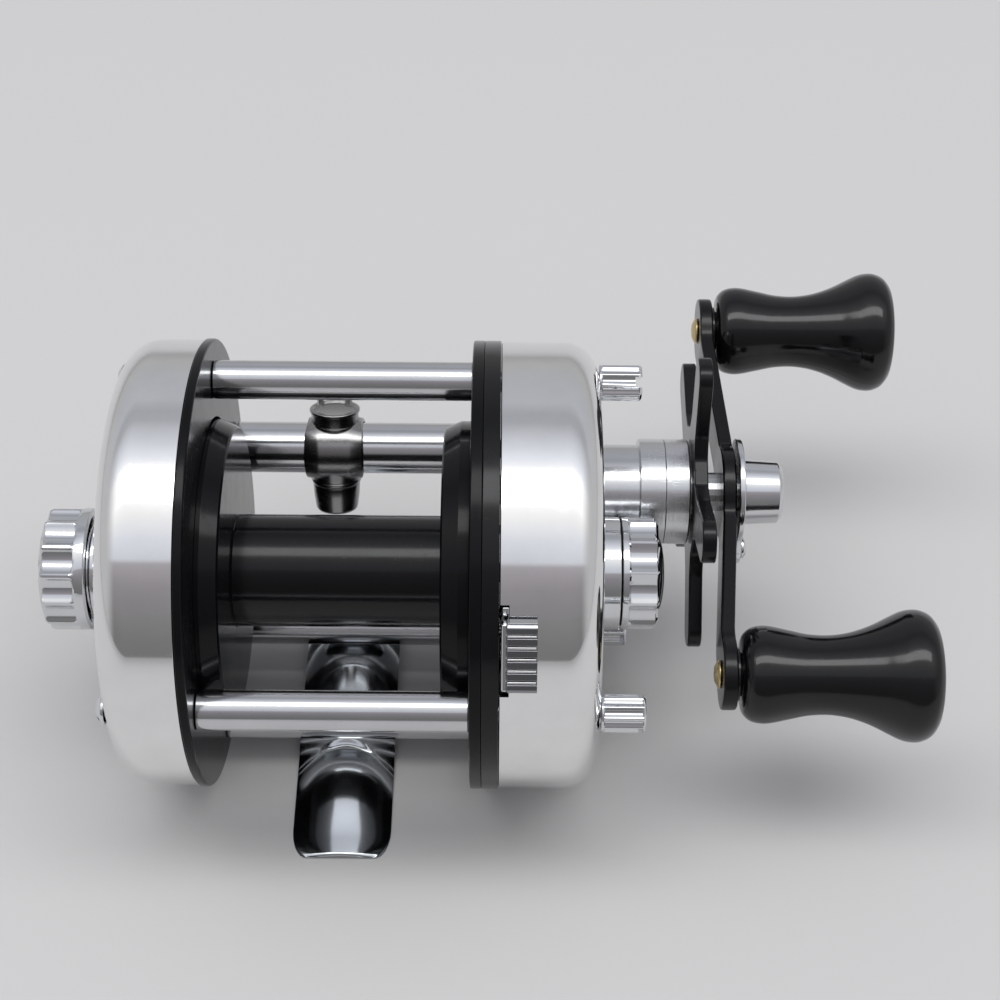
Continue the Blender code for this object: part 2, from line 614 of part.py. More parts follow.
def build_level_wind(frame, worm, guide, pawl):
    y0, z0 = TUBE_AXIS
    slot = math.radians(27)
    start = -math.pi / 2 - GUIDE_LEAN + slot
    turns = [start + (2 * math.pi - 2 * slot) * i / 18 for i in range(19)]
    outline = [(y0 + 4.05 * math.cos(t), z0 + 4.05 * math.sin(t)) for t in turns]
    outline += [(y0 + 3.15 * math.cos(t), z0 + 3.15 * math.sin(t)) for t in reversed(turns)]
    add_piece("level_wind_tube", plate((LEFT_RING_FACE_X + GAP, -5.1), outline), "chrome", frame)
    add_piece("level_wind_worm", turned([
        (-46.2, 0), (-46.2, 1.5), (-43.2, 1.5), (-43.2, 2.6), (-5.8, 2.6), (-5.8, 1.5), (2.5, 1.5),
        (2.5, 0)], TUBE_AXIS, 20), "steel", worm)
    add_piece("worm_bush_left", ring((-45.6, -44.4), 2.7, 1.75, TUBE_AXIS, 16), "brass", frame)
    add_piece("worm_bush_right", ring((-4.6, -1.0), 2.7, 1.75, TUBE_AXIS, 16), "brass", frame)

    at = (GUIDE_X, y0, z0)
    sleeve = turned([
        (GUIDE_X - 4.8, 0), (GUIDE_X - 4.8, 4.7), (GUIDE_X - 3.6, 5.15), (GUIDE_X + 3.6, 5.15),
        (GUIDE_X + 4.8, 4.7), (GUIDE_X + 4.8, 0)], TUBE_AXIS, 24)
    line_guide = add_piece("line_guide", sleeve, "chrome", guide)
    collar = turned([
        (2.0, 0), (2.0, 3.55), (6.2, 3.55), (6.3, 3.95), (6.8, 3.95), (6.8, 3.3), (6.3, 1.8),
        (6.3, 0)], PLATE_AXIS, 24)
    combine(line_guide, upright(collar, at, GUIDE_LEAN), "UNION")
    spigot = turned([
        (-8.2, 0), (-8.2, 2.9), (-5.4, 2.9), (-5.3, 3.75), (-2.0, 4.2), (-2.0, 0)], PLATE_AXIS, 24)
    combine(line_guide, upright(spigot, at, GUIDE_LEAN), "UNION")
    combine(line_guide, rod((GUIDE_X - 7, GUIDE_X + 7), 4.25, TUBE_AXIS, 24))
    for inside in ((-9.0, -3.0), (3.0, 7.5)):
        combine(line_guide, upright(rod(inside, 1.8, PLATE_AXIS, 12), at, GUIDE_LEAN))
    cap = turned([
        (-10.3, 0), (-10.3, 2.8), (-9.7, 3.5), (-5.7, 3.75), (-5.7, 3.2), (-8.5, 3.2),
        (-8.5, 1.7), (-9.3, 1.7), (-9.3, 0)], PLATE_AXIS, 16)
    add_piece("pawl_cap", upright(cap, at, GUIDE_LEAN), "chrome", guide)
    pin = turned([(-9.0, 0), (-9.0, 1.2), (-4.6, 1.2), (-2.9, 0.6), (-2.9, 0)], PLATE_AXIS, 12)
    add_piece("guide_pawl", upright(pin, at, GUIDE_LEAN), "brass", pawl)

    eye = [(x, z) for x, z in arc(0, 11.4, 2.2, 0, 180, 10)]
    eye = [(2.2, 7.1), (2.2, 9.0), *eye, (-2.2, 9.0), (-2.2, 7.1)]
    up, forward = math.cos(GUIDE_LEAN), math.sin(GUIDE_LEAN)
    path = [(GUIDE_X + x, y0 + z * forward, z0 + z * up) for x, z in eye]
    add_wire("line_guide_eye", path, 0.55, "steel", guide)


def add_wire(name, points, radius, material, pivot):
    curve = bpy.data.curves.new(name, "CURVE")
    curve.dimensions = "3D"
    curve.bevel_depth = radius * MM
    curve.bevel_resolution = 1
    curve.use_fill_caps = True
    spline = curve.splines.new("POLY")
    spline.points.add(len(points) - 1)
    for slot, point in zip(spline.points, points):
        slot.co = (*((Vector(point) - Vector(pivot["at"])) * MM), 1.0)
    curve.materials.append(bpy.data.materials[material])
    obj = bpy.data.objects.new(name, curve)
    bpy.context.scene.collection.objects.link(obj)
    obj.parent = pivot


# --- handle -------------------------------------------------------------------------------------

def star_outline():
    points = []
    for arm in range(5):
        middle = math.radians(STAR_ANGLE + 72 * arm)
        local = [Vector((9.8, -4.0)), Vector((13.0, -STAR_ARM_HALF_WIDTH))]
        for side in (-1, 1):
            corner = Vector((STAR_TIP_R - STAR_CORNER_R, side * (STAR_ARM_HALF_WIDTH - STAR_CORNER_R)))
            first = -90 if side < 0 else 0
            local += [corner + STAR_CORNER_R * Vector((math.cos(a), math.sin(a)))
                      for a in (math.radians(first + 30 * i) for i in range(4))]
        local += [Vector((13.0, STAR_ARM_HALF_WIDTH)), Vector((9.8, 4.0))]
        for point in local:
            turned_point = Matrix.Rotation(middle, 2) @ point
            points.append((HANDLE_AXIS[0] + turned_point.x, HANDLE_AXIS[1] + turned_point.y))
    return points


def build_star(frame, star):
    housing = add_piece("handle_bearing_housing", turned([
        (12.6, 5.3), (12.6, 6.2), (13.7, 6.2), (13.7, 10.0), (14.9, 10.0), (14.9, 7.15),
        (20.4, 7.15), (20.4, 8.1), (24.3, 8.1), (24.3, 5.3)], HANDLE_AXIS, 24),
        "machined_aluminium", frame)
    combine(housing, rod((13.2, 15.4), 8.65, SPOOL_AXIS, 24))
    add_piece("star_hub", turned([
        (9.9, 3.3), (9.9, 5.0), (24.6, 5.0), (24.6, 8.1), (28.0, 8.1), (28.0, 5.0), (30.7, 5.0),
        (30.7, 3.3)], HANDLE_AXIS, 24), "machined_aluminium", star)
    add_piece("star_drag_wheel", plate(STAR_X, star_outline(), [circle(HANDLE_AXIS, 5.3, 24)]),
              "black_paint", star)


def arm_outline():
    """The handle arm's outline, with its two eyes and its wide middle."""
    quarter = [(7.0 * math.cos(a), 7.0 * math.sin(a))
               for a in (math.radians(90 - 20 * i) for i in range(4))]
    eye = [(ARM_HALF_LENGTH + ARM_EYE_R * math.cos(a), ARM_EYE_R * math.sin(a))
           for a in (math.radians(125 - 25 * i) for i in range(11))]
    front = quarter + [(8.5, 4.1), (24.0, 3.9)] + eye + [(24.0, -3.9), (8.5, -4.1)]
    front += [(y, -z) for y, z in reversed(quarter[1:])]
    rear = [(-y, -z) for y, z in front]
    return [from_handle_axis(y, z, REST_ANGLE) for y, z in front + rear]


def from_handle_axis(y, z, angle):
    return (HANDLE_AXIS[0] + y * math.cos(angle) - z * math.sin(angle),
            HANDLE_AXIS[1] + y * math.sin(angle) + z * math.cos(angle))


def knob_axes():
    return {name: from_handle_axis(side * ARM_HALF_LENGTH, 0, REST_ANGLE)
            for name, side in (("front", 1), ("rear", -1))}


def lock_plate_outline():
    """A round plate with a lobe that holds its screw."""
    disc = [(8.3 * math.cos(a), 8.3 * math.sin(a))
            for a in (math.radians(25 + 310 * i / 15) for i in range(16))]
    lobe = [(LOCK_SCREW_R + 2.4 * math.cos(a), 2.4 * math.sin(a))
            for a in (math.radians(-60 + 120 * i / 4) for i in range(5))]
    return [from_handle_axis(y, z, LOCK_SCREW_ANGLE) for y, z in disc + lobe]


def build_handle(handle, knobs):
    eyes = knob_axes()
    arm = plate(ARM_X, arm_outline(), [circle(HANDLE_AXIS, 3.3, 20)]
                + [circle(eye, 1.9, 16) for eye in eyes.values()])
    for vert in arm.verts:
        away = abs(Vector((math.cos(REST_ANGLE), math.sin(REST_ANGLE))).dot(
            Vector((vert.co.y, vert.co.z)) - Vector(HANDLE_AXIS)))
        vert.co.x -= ARM_CRANK * min(1.0, max(0.0, (away - 8.5) / 15.5))
    add_piece("handle_arm", arm, "black_paint", handle)
    screw_axis = from_handle_axis(LOCK_SCREW_R, 0, LOCK_SCREW_ANGLE)
    add_piece("nut_lock_plate", plate((35.4, 36.3), lock_plate_outline(), [
        circle(HANDLE_AXIS, 3.3, 20), circle(screw_axis, 1.1, 10)]), "chrome", handle)
    add_piece("lock_plate_screw", turned([
        (35.3, 0), (35.3, 0.8), (36.4, 0.8), (36.4, 1.7), (37.0, 1.5), (37.3, 0)], screw_axis, 12),
        "chrome", handle)
    end = NUT_END_X
    add_piece("handle_nut", turned([
        (41.8, 0), (41.8, 3.3), (36.6, 3.3), (36.6, 5.0), (end - 0.6, 4.75), (end - 0.1, 4.4),
        (end, 3.9), (end, 0)], HANDLE_AXIS, 24), "chrome", handle)
    for name, eye in eyes.items():
        low = ARM_X[0] - ARM_CRANK
        add_piece(f"knob_spindle_{name}", turned([
            (low - 1.0, 0), (low - 0.8, 1.3), (low - 0.1, 2.2), (low - 0.1, 1.6), (58.0, 1.6),
            (58.0, 0)], eye, 16), "brass", handle)
        add_piece(f"knob_{name}", knob(eye), "black_plastic", knobs[name])


def knob(axis):
    start, end = KNOB_X
    length = end - start
    outer = [(0.0, 4.6), (0.6, 5.9), (2.0, 6.9), (3.4, 7.05), (7.0, 6.5), (12.3, 5.75), (17.0, 6.5),
             (21.3, 8.5), (24.3, KNOB_R), (26.7, 9.3), (28.0, 8.0), (length - 0.15, 5.6)]
    profile = [(59.0, 0), (59.0, 1.9), (start, 1.9)]
    profile += [(start + x, r) for x, r in outer] + [(end, 0)]
    return turned(profile, axis, 20)


# --- thumbscrews --------------------------------------------------------------------------------

def build_thumbscrews(pivots):
    grip, angles = fluted(2.6, 0.35, 10, 2)
    for name, axis in THUMBSCREWS.items():
        start, end = RIGHT_FACE_X + 0.3, RIGHT_FACE_X + 6.3
        screw = add_piece(f"thumbscrew_{name}", turned([
            (-4.5, 0), (-4.5, 1.5), (start, 1.5), (start, 2.6), (start + 0.8, 2.6),
            (start + 0.9, grip), (end, grip), (end, 0)],
            axis, angles=angles), "chrome", pivots[name])
        slot = box((end - 1.0, -4, -0.75), (end + 1, 4, 0.75))
        slot.transform(Matrix.Translation((0, *axis)) @ Matrix.Rotation(SLOT_TURNS[name], 4, "X"))
        combine(screw, slot)


def main():
    clear_scene()
    make_materials()
    reel = add_pivot("reel", tuple(CENTRE_OF_BOX))
    reel.location = (0, 0, 0)
    handle = add_pivot("handle_turn", (0, *HANDLE_AXIS), reel)
    spool = add_pivot("spool_turn", (0, *SPOOL_AXIS), reel)
    worm = add_pivot("worm_turn", (0, *TUBE_AXIS), reel)
    guide = add_pivot("line_guide_travel", (GUIDE_X, *TUBE_AXIS), reel)
    pawl = add_pivot("pawl_swivel", (GUIDE_X, *TUBE_AXIS), guide)
    button = add_pivot("button_travel", tuple(34.0 * outward(BUTTON_ANGLE)), reel)
    yoke = add_pivot("yoke_travel", (9.1, *SPOOL_AXIS), reel)
    pinion_slide = add_pivot("pinion_travel", (4.0, *SPOOL_AXIS), spool)
    dog = add_pivot("dog_swing", (0, *DOG_PIVOT), reel)
    star = add_pivot("star_turn", (0, *HANDLE_AXIS), handle)
    left_cap = add_pivot("left_cap_turn", (0, *SPOOL_AXIS), reel)
    cast_cap = add_pivot("cast_cap_turn", (0, *SPOOL_AXIS), reel)
    screws = {name: add_pivot(f"thumbscrew_{name}_turn", (0, *axis), reel)
              for name, axis in THUMBSCREWS.items()}
    knobs = {name: add_pivot(f"knob_{name}_turn", (0, *axis), handle)
             for name, axis in knob_axes().items()}

    build_shells(reel)
    build_rings(reel)
    build_pillars(reel)
    build_foot(reel)
    build_left_screws(reel)
    build_spool_ends(reel, left_cap, cast_cap)
    build_spool(spool)
    build_gears(handle, pinion_slide, worm)
    build_drive(reel, handle, dog)
    build_clutch(reel, button, yoke)
    build_button(button)
    build_level_wind(reel, worm, guide, pawl)
    build_star(reel, star)
    build_handle(handle, knobs)
    build_thumbscrews(screws)


main()
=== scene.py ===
"""Trolling reel: the visual model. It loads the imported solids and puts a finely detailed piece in
place of each one that shows. Shapes are made in millimetres, and to_object() turns them to metres.
"""

import json
import math

import bmesh
import bpy
from mathutils import Matrix, Vector


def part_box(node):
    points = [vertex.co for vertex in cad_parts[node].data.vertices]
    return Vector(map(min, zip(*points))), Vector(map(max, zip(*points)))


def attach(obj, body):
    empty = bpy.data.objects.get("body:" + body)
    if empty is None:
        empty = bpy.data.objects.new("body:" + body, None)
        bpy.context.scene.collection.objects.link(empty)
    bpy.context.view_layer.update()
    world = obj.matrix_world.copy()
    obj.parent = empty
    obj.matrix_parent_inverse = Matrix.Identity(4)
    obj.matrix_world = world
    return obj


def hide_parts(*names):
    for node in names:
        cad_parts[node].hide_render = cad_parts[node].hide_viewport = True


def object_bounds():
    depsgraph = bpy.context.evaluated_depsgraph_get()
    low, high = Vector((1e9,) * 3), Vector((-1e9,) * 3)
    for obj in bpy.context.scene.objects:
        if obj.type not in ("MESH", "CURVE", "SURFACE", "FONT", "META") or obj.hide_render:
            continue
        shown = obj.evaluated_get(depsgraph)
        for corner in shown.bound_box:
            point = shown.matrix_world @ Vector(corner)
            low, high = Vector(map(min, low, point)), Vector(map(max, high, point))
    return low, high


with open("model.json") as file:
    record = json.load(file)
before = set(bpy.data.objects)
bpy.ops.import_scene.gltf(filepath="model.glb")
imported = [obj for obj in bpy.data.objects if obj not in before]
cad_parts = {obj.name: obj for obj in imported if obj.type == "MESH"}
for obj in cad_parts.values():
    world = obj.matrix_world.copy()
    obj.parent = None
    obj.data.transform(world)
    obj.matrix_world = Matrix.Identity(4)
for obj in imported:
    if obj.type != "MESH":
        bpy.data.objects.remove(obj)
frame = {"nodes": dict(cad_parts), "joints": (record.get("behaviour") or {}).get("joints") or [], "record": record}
CAD_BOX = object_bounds()
JOINTS = {j["name"]: Vector(j["pos_m"]) * 1000 for j in frame["joints"] if "pos_m" in j}
MM = 0.001


# --- where the solids are, in millimetres ---

def span(node):
    low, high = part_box(node)
    return low * 1000, high * 1000


def axis_of(node):
    low, high = span(node)
    return (low.y + high.y) / 2, (low.z + high.z) / 2


def joint_axis(name):
    return JOINTS[name].y, JOINTS[name].z


PLATE = axis_of("gear_side_plate")
SPOOL = joint_axis("spool_spin")
HANDLE = joint_axis("handle_spin")
TUBE = joint_axis("worm_spin")
FRONT_KNOB = joint_axis("front_knob_spin")
REAR_KNOB = joint_axis("rear_knob_spin")
ARM_ANGLE = math.atan2(FRONT_KNOB[1] - HANDLE[1], FRONT_KNOB[0] - HANDLE[0])
GUIDE = JOINTS["pawl_swivel"]
GUIDE_AXIS = next(j["axis"] for j in frame["joints"] if j["name"] == "pawl_swivel")
LEAN = math.atan2(GUIDE_AXIS[1], GUIDE_AXIS[2])


# --- materials ---

class Tree:
    """Short calls for the nodes of one material, or of the world."""

    def __init__(self, owner, shader="Principled BSDF"):
        self.owner = owner
        owner.use_nodes = True
        self.tree = owner.node_tree
        self.shader = self.tree.nodes[shader]

    def node(self, kind, inputs=(), **settings):
        node = self.tree.nodes.new("ShaderNode" + kind)
        for key, value in settings.items():
            setattr(node, key, value)
        for key, value in dict(inputs).items():
            self.put(node.inputs[key], value)
        return node

    def put(self, socket, value):
        if isinstance(value, bpy.types.NodeSocket):
            self.tree.links.new(value, socket)
        else:
            socket.default_value = value

    def math(self, operation, *values, clamp=False):
        node = self.node("Math", operation=operation, use_clamp=clamp)
        for socket, value in zip(node.inputs, values):
            self.put(socket, value)
        return node.outputs[0]

    def vector(self, operation, *values):
        node = self.node("VectorMath", operation=operation)
        for socket, value in zip(node.inputs, values):
            self.put(socket, value)
        return node.outputs["Value" if operation == "LENGTH" else "Vector"]

    def ramp(self, value, stops):
        node = self.node("ValToRGB", {"Fac": value})
        elements = node.color_ramp.elements
        while len(elements) < len(stops):
            elements.new(0.5)
        for element, (place, colour) in zip(elements, stops):
            element.position = place
            element.color = colour if len(colour) == 4 else (*colour, 1.0)
        return node.outputs["Color"]

    def place(self):
        """The point on the piece, in millimetres."""
        return self.vector("MULTIPLY", self.node("TexCoord").outputs["Object"], (1000, 1000, 1000))

    def noise(self, vector, scale, detail=3.0, roughness=0.55, distortion=0.0):
        return self.node("TexNoise", {
            "Vector": vector, "Scale": scale, "Detail": detail, "Roughness": roughness,
            "Distortion": distortion}).outputs["Fac"]

    def turning(self, place, axis):
        """Runs along a turned surface from its middle outwards and along its length."""
        away = self.vector("SUBTRACT", place, (0, axis[0], axis[1]))
        across = self.vector("MULTIPLY", away, (0, 1, 1))
        along = self.node("SeparateXYZ", {"Vector": place}).outputs["X"]
        return self.math("ADD", along, self.vector("LENGTH", across))

    def lines(self, value, scale, detail=2.0):
        return self.node("TexNoise", {"W": value, "Scale": scale, "Detail": detail},
                         noise_dimensions="1D").outputs["Fac"]

    def hairlines(self, place, stretch, scale, width):
        """Thin wandering scratches: 1 on a scratch and 0 off it."""
        field = self.noise(self.vector("MULTIPLY", place, stretch), scale, 2.0, 0.5)
        away = self.math("ABSOLUTE", self.math("SUBTRACT", field, 0.5))
        return self.math("SUBTRACT", 1.0, self.math("MULTIPLY", away, 1.0 / width), clamp=True)

    def bump(self, height, strength, distance=0.0001):
        return self.node("Bump", {"Height": height, "Strength": strength,
                                  "Distance": distance}).outputs["Normal"]

    def total(self, first, *terms):
        """first plus each factor times its value."""
        for factor, value in terms:
            first = self.math("MULTIPLY_ADD", value, factor, first)
        return first


def metal(name, colour, roughness, axis=PLATE, turned=0.02, smudge=0.05, scratch=0.1, grain=9.0,
          depth=0.05, pits=0.0, stretch=(0.35, 1.0, 1.0), specular=0.5, metallic=1.0):
    """A worked metal: lathe lines, smudges, hairline scratches and, where asked, small pits."""
    t = Tree(bpy.data.materials.new(name))
    place = t.place()
    lines = t.lines(t.turning(place, axis), grain, 4.0)
    cloud = t.noise(place, 0.16, 4.0)
    fine = t.hairlines(place, stretch, 0.9, 0.006)
    worn = t.math("MULTIPLY", fine, t.ramp(t.noise(place, 0.3, 2.0),
                                           [(0.45, (0, 0, 0)), (0.62, (1, 1, 1))]))
    t.put(t.shader.inputs["Roughness"], t.total(
        roughness - 0.5 * smudge - 0.5 * turned, (turned, lines), (smudge, cloud), (scratch, worn)))
    darker = tuple(0.86 * c for c in colour)
    shade = t.node("Mix", {"Factor": cloud, "A": (*colour, 1), "B": (*darker, 1)}, data_type="RGBA")
    base = shade.outputs["Result"]
    height = t.total(t.math("MULTIPLY", lines, 1.0), (-0.6, worn))
    if pits:
        spots = t.node("TexVoronoi", {"Vector": place, "Scale": 2.2}).outputs["Distance"]
        pit = t.math("MULTIPLY", t.ramp(spots, [(0.0, (1, 1, 1)), (0.16, (0, 0, 0))]),
                     t.ramp(t.noise(place, 0.5, 2.0), [(0.5, (0, 0, 0)), (0.66, (1, 1, 1))]))
        base = t.node("Mix", {"Factor": t.math("MULTIPLY", pit, pits), "A": base,
                              "B": (0.12, 0.085, 0.07, 1)}, data_type="RGBA").outputs["Result"]
        height = t.total(height, (-1.5, pit))
    t.put(t.shader.inputs["Base Color"], base)
    t.shader.inputs["Metallic"].default_value = metallic
    t.shader.inputs["Specular IOR Level"].default_value = specular
    t.put(t.shader.inputs["Normal"], t.bump(height, depth, 0.00004))
    return t.owner


def coated(name, colour, roughness, axis=PLATE, turned=0.04, speck=0.5, orange=0.25, grain=5.0,
           dust=0.3, specular=0.25):
    """Black anodising, paint or plastic: a faint orange peel, dust, small marks and lathe lines."""
    t = Tree(bpy.data.materials.new(name))
    place = t.place()
    lines = t.lines(t.turning(place, axis), grain, 3.0)
    cloud = t.noise(place, 0.22, 5.0)
    peel = t.noise(place, 2.4, 2.0)
    marks = t.hairlines(place, (0.6, 1.0, 0.8), 0.7, 0.005)
    specks = t.ramp(t.node("TexVoronoi", {"Vector": place, "Scale": 1.3}).outputs["Distance"],
                    [(0.0, (1, 1, 1)), (0.045, (0, 0, 0))])
    t.put(t.shader.inputs["Roughness"], t.total(
        roughness - 0.5 * turned, (turned, lines), (0.10, t.math("SUBTRACT", cloud, 0.5)),
        (0.16, marks)))
    pale = tuple(min(1.0, c + 0.025) for c in colour)
    worn = t.math("ADD", t.math("MULTIPLY", specks, speck * 0.6),
                  t.math("MULTIPLY", cloud, dust * 0.12), clamp=True)
    t.put(t.shader.inputs["Base Color"], t.node(
        "Mix", {"Factor": worn, "A": (*colour, 1), "B": (*pale, 1)},
        data_type="RGBA").outputs["Result"])
    t.shader.inputs["Specular IOR Level"].default_value = specular
    height = t.total(t.math("MULTIPLY", peel, orange), (3.0 * turned, lines), (-0.4, marks))
    t.put(t.shader.inputs["Normal"], t.bump(height, 0.08, 0.00005))
    return t.owner


# After each colour: its roughness, the axis of its lathe lines, and how strong each mark is
ALUMINIUM = (0.88, 0.88, 0.88)
CHROME = (0.74, 0.75, 0.765)
BLACK = (0.0035, 0.0037, 0.0044)
MATERIALS = {
    "plates": metal("polished_aluminium", ALUMINIUM, 0.065, PLATE, 0.02, 0.04, 0.16, 6.0, 0.02),
    "hub": metal("machined_aluminium", (0.68, 0.69, 0.70), 0.20, HANDLE, 0.14, 0.05, 0.1, 14.0,
                 0.25),
    "chrome": metal("chrome", CHROME, 0.06, PLATE, 0.0, 0.04, 0.10, 5.0, 0.02, pits=0.4),
    "chrome_spool_axis": metal("chrome_caps", CHROME, 0.07, SPOOL, 0.04, 0.04, 0.1, 9.0, 0.03),
    "chrome_handle_axis": metal("chrome_nut", CHROME, 0.12, HANDLE, 0.08, 0.04, 0.1, 9.0, 0.08),
    "pillars": metal("chrome_pillars", (0.66, 0.665, 0.68), 0.14, PLATE, 0.03, 0.06, 0.1, 4.0, 0.03,
                     pits=1.0),
    # The line guide's chrome has a much darker base colour than the other chrome
    "guide": metal("dark_chrome_guide", (0.34, 0.335, 0.33), 0.25, PLATE, 0.02, 0.10, 0.1, 4.0, 0.05,
                   pits=0.6),
    "foot": metal("foot_chrome", (0.62, 0.65, 0.67), 0.12, PLATE, 0.0, 0.08, 0.12, 4.0, 0.03,
                  pits=0.5),
    # The thumb button's chrome has a dark base colour: a painted dark reflection that makes its grooves read dark
    "button": metal("button_chrome_painted_dark_reflection", (0.30, 0.305, 0.32), 0.08, PLATE, 0.0, 0.04, 0.10, 5.0, 0.02),
    "anodised": coated("black_anodised", BLACK, 0.15, SPOOL, 0.02, 0.2, 0.05, specular=0.17),
    "rings": coated("black_anodised_rings", BLACK, 0.17, PLATE, 0.02, 0.2, 0.05, specular=0.15),
    "gear_plate": coated("black_anodised_plate", BLACK, 0.16, PLATE, 0.02, 0.2, 0.05,
                         specular=0.27),
    "arbor": coated("black_anodised_arbor", (0.002, 0.0022, 0.0028), 0.16, SPOOL, 0.04, 0.2, 0.05,
                    7.0, dust=0.1, specular=0.31),
    "paint": coated("black_paint", (0.0022, 0.0023, 0.003), 0.20, HANDLE, 0.0, 0.6, 0.2,
                    specular=0.29),
    "plastic": coated("black_plastic", (0.0022, 0.0023, 0.0028), 0.13, FRONT_KNOB, 0.0, 0.6, 0.1,
                      specular=0.40),
    "brass": metal("brass", (0.60, 0.47, 0.24), 0.26, HANDLE, 0.10, 0.08, 0.1, 10.0, 0.15),
    "steel": metal("steel", (0.46, 0.465, 0.47), 0.26, HANDLE, 0.10, 0.08, 0.1, 10.0, 0.15),
    "fibre": coated("fibre", (0.16, 0.10, 0.06), 0.8, HANDLE, 0.05, 1.0, 1.0),
    "rubber": coated("rubber", (0.006, 0.006, 0.006), 0.6, SPOOL, 0.05, 0.3, 1.0),
}


# --- meshes ---

MOST_OF_A_SIDE = 0.48  # how much of a side one of its two round corners may take
NEARLY_STRAIGHT = math.radians(166)
LARGE_RADIUS = 1.5  # a corner rounder than this gets more points


def fillet(before, corner, after, radius, steps):
    """The points of a round corner in a flat outline."""
    a, p, b = Vector(before[:2]), Vector(corner[:2]), Vector(after[:2])
    u, w = a - p, b - p
    if u.length < 1e-6 or w.length < 1e-6:
        return [tuple(p)]
    room = MOST_OF_A_SIDE * min(u.length, w.length)
    u.normalize()
    w.normalize()
    inside = math.acos(max(-1.0, min(1.0, u.dot(w))))
    if inside > NEARLY_STRAIGHT or inside < 0.02 or radius <= 0:
        return [tuple(p)]
    reach = min(radius / math.tan(inside / 2), room)
    radius = reach * math.tan(inside / 2)
    centre = p + (u + w).normalized() * (radius / math.sin(inside / 2))
    start, end = p + u * reach - centre, p + w * reach - centre
    turn = start.angle_signed(end)
    return [tuple(centre + Matrix.Rotation(-turn * i / steps, 2) @ start) for i in range(steps + 1)]


def rounded(points, radius=0.15, steps=3, closed=False):
    """An outline with each corner rounded. A point may carry its own radius, third in its tuple."""
    made = []
    for i, point in enumerate(points):
        if not closed and i in (0, len(points) - 1):
            made.append(tuple(point[:2]))
            continue
        own = point[2] if len(point) > 2 else radius
        made += fillet(points[i - 1], point, points[(i + 1) % len(points)], own,
                       steps + (8 if own > LARGE_RADIUS else 0))
    return made


def turned(profile, axis, segments=96, radius=0.15, shape=None, steps=3):
    """A body turned about X, from (x, r) points. shape(x, r, angle) may change the radius."""
    closed = profile[0][1] != 0
    mesh = bmesh.new()
    rings = []
    for x, r in rounded(profile, radius, steps, closed):
        if r == 0:
            rings.append([mesh.verts.new((x, *axis))] * segments)
            continue
        ring = []
        for i in range(segments):
            angle = 2 * math.pi * i / segments
            own = shape(x, r, angle) if shape else r
            ring.append(mesh.verts.new((x, axis[0] + own * math.cos(angle),
                                        axis[1] + own * math.sin(angle))))
        rings.append(ring)
    pairs = list(zip(rings, rings[1:])) + ([(rings[-1], rings[0])] if closed else [])
    for first, second in pairs:
        for i in range(segments):
            j = (i + 1) % segments
            corners = list(dict.fromkeys([first[i], first[j], second[j], second[i]]))
            if len(corners) > 2:
                mesh.faces.new(corners)
    return mesh


def upright(mesh, at, lean=0.0):
    """Stands a shape turned about X on its end at a point, its top tipped towards the front."""
    turn = Matrix.Rotation(-lean, 4, "X") @ Matrix.Rotation(-math.pi / 2, 4, "Y")
    mesh.transform(Matrix.Translation(at) @ turn)
    return mesh


def lofted(sections):
    """A skin over sections that have the same number of points, closed with a face at each end."""
    mesh = bmesh.new()
    rings = [[mesh.verts.new(p) for p in section] for section in sections]
    for first, second in zip(rings, rings[1:]):
        for i in range(len(first)):
            j = (i + 1) % len(first)
            mesh.faces.new((first[i], first[j], second[j], second[i]))
    mesh.faces.new(rings[0])
    mesh.faces.new(rings[-1])
    return mesh


def slab(outline, x_range):
    """A flat piece across X from its (y, z) outline."""
    return lofted([[(x, y, z) for y, z in outline] for x in x_range])


def block(low, high):
    """A tool or a body that is bevelled later, between two opposite corners."""
    mesh = bmesh.new()
    bmesh.ops.create_cube(mesh, size=1.0)
    bmesh.ops.scale(mesh, vec=Vector(high) - Vector(low), verts=mesh.verts)
    bmesh.ops.translate(mesh, vec=(Vector(high) + Vector(low)) / 2, verts=mesh.verts)
    return mesh


def to_object(name, mesh, material=None):
    bmesh.ops.recalc_face_normals(mesh, faces=mesh.faces)
    if mesh.calc_volume(signed=True) < 0:
        bmesh.ops.reverse_faces(mesh, faces=mesh.faces)
    bmesh.ops.scale(mesh, vec=(MM, MM, MM), verts=mesh.verts)
    data = bpy.data.meshes.new(name)
    mesh.to_mesh(data)
    mesh.free()
    obj = bpy.data.objects.new(name, data)
    bpy.context.scene.collection.objects.link(obj)
    if material:
        data.materials.append(material)
    return obj


def settle(obj):
    """Replaces the piece's mesh by what its modifiers make of it, and clears them."""
    graph = bpy.context.evaluated_depsgraph_get()
    data = bpy.data.meshes.new_from_object(obj.evaluated_get(graph))
    obj.modifiers.clear()
    obj.data = data


def cut(obj, *tools):
    made = []
    for tool in tools:
        cutter = to_object(obj.name + "_cutter", tool)
        modifier = obj.modifiers.new("cut", "BOOLEAN")
        modifier.operation = "DIFFERENCE"
        modifier.solver = "EXACT"
        modifier.object = cutter
        made.append(cutter)
    settle(obj)
    for cutter in made:
        bpy.data.objects.remove(cutter)


BEVEL_FROM = math.radians(40)  # an edge sharper than this is bevelled


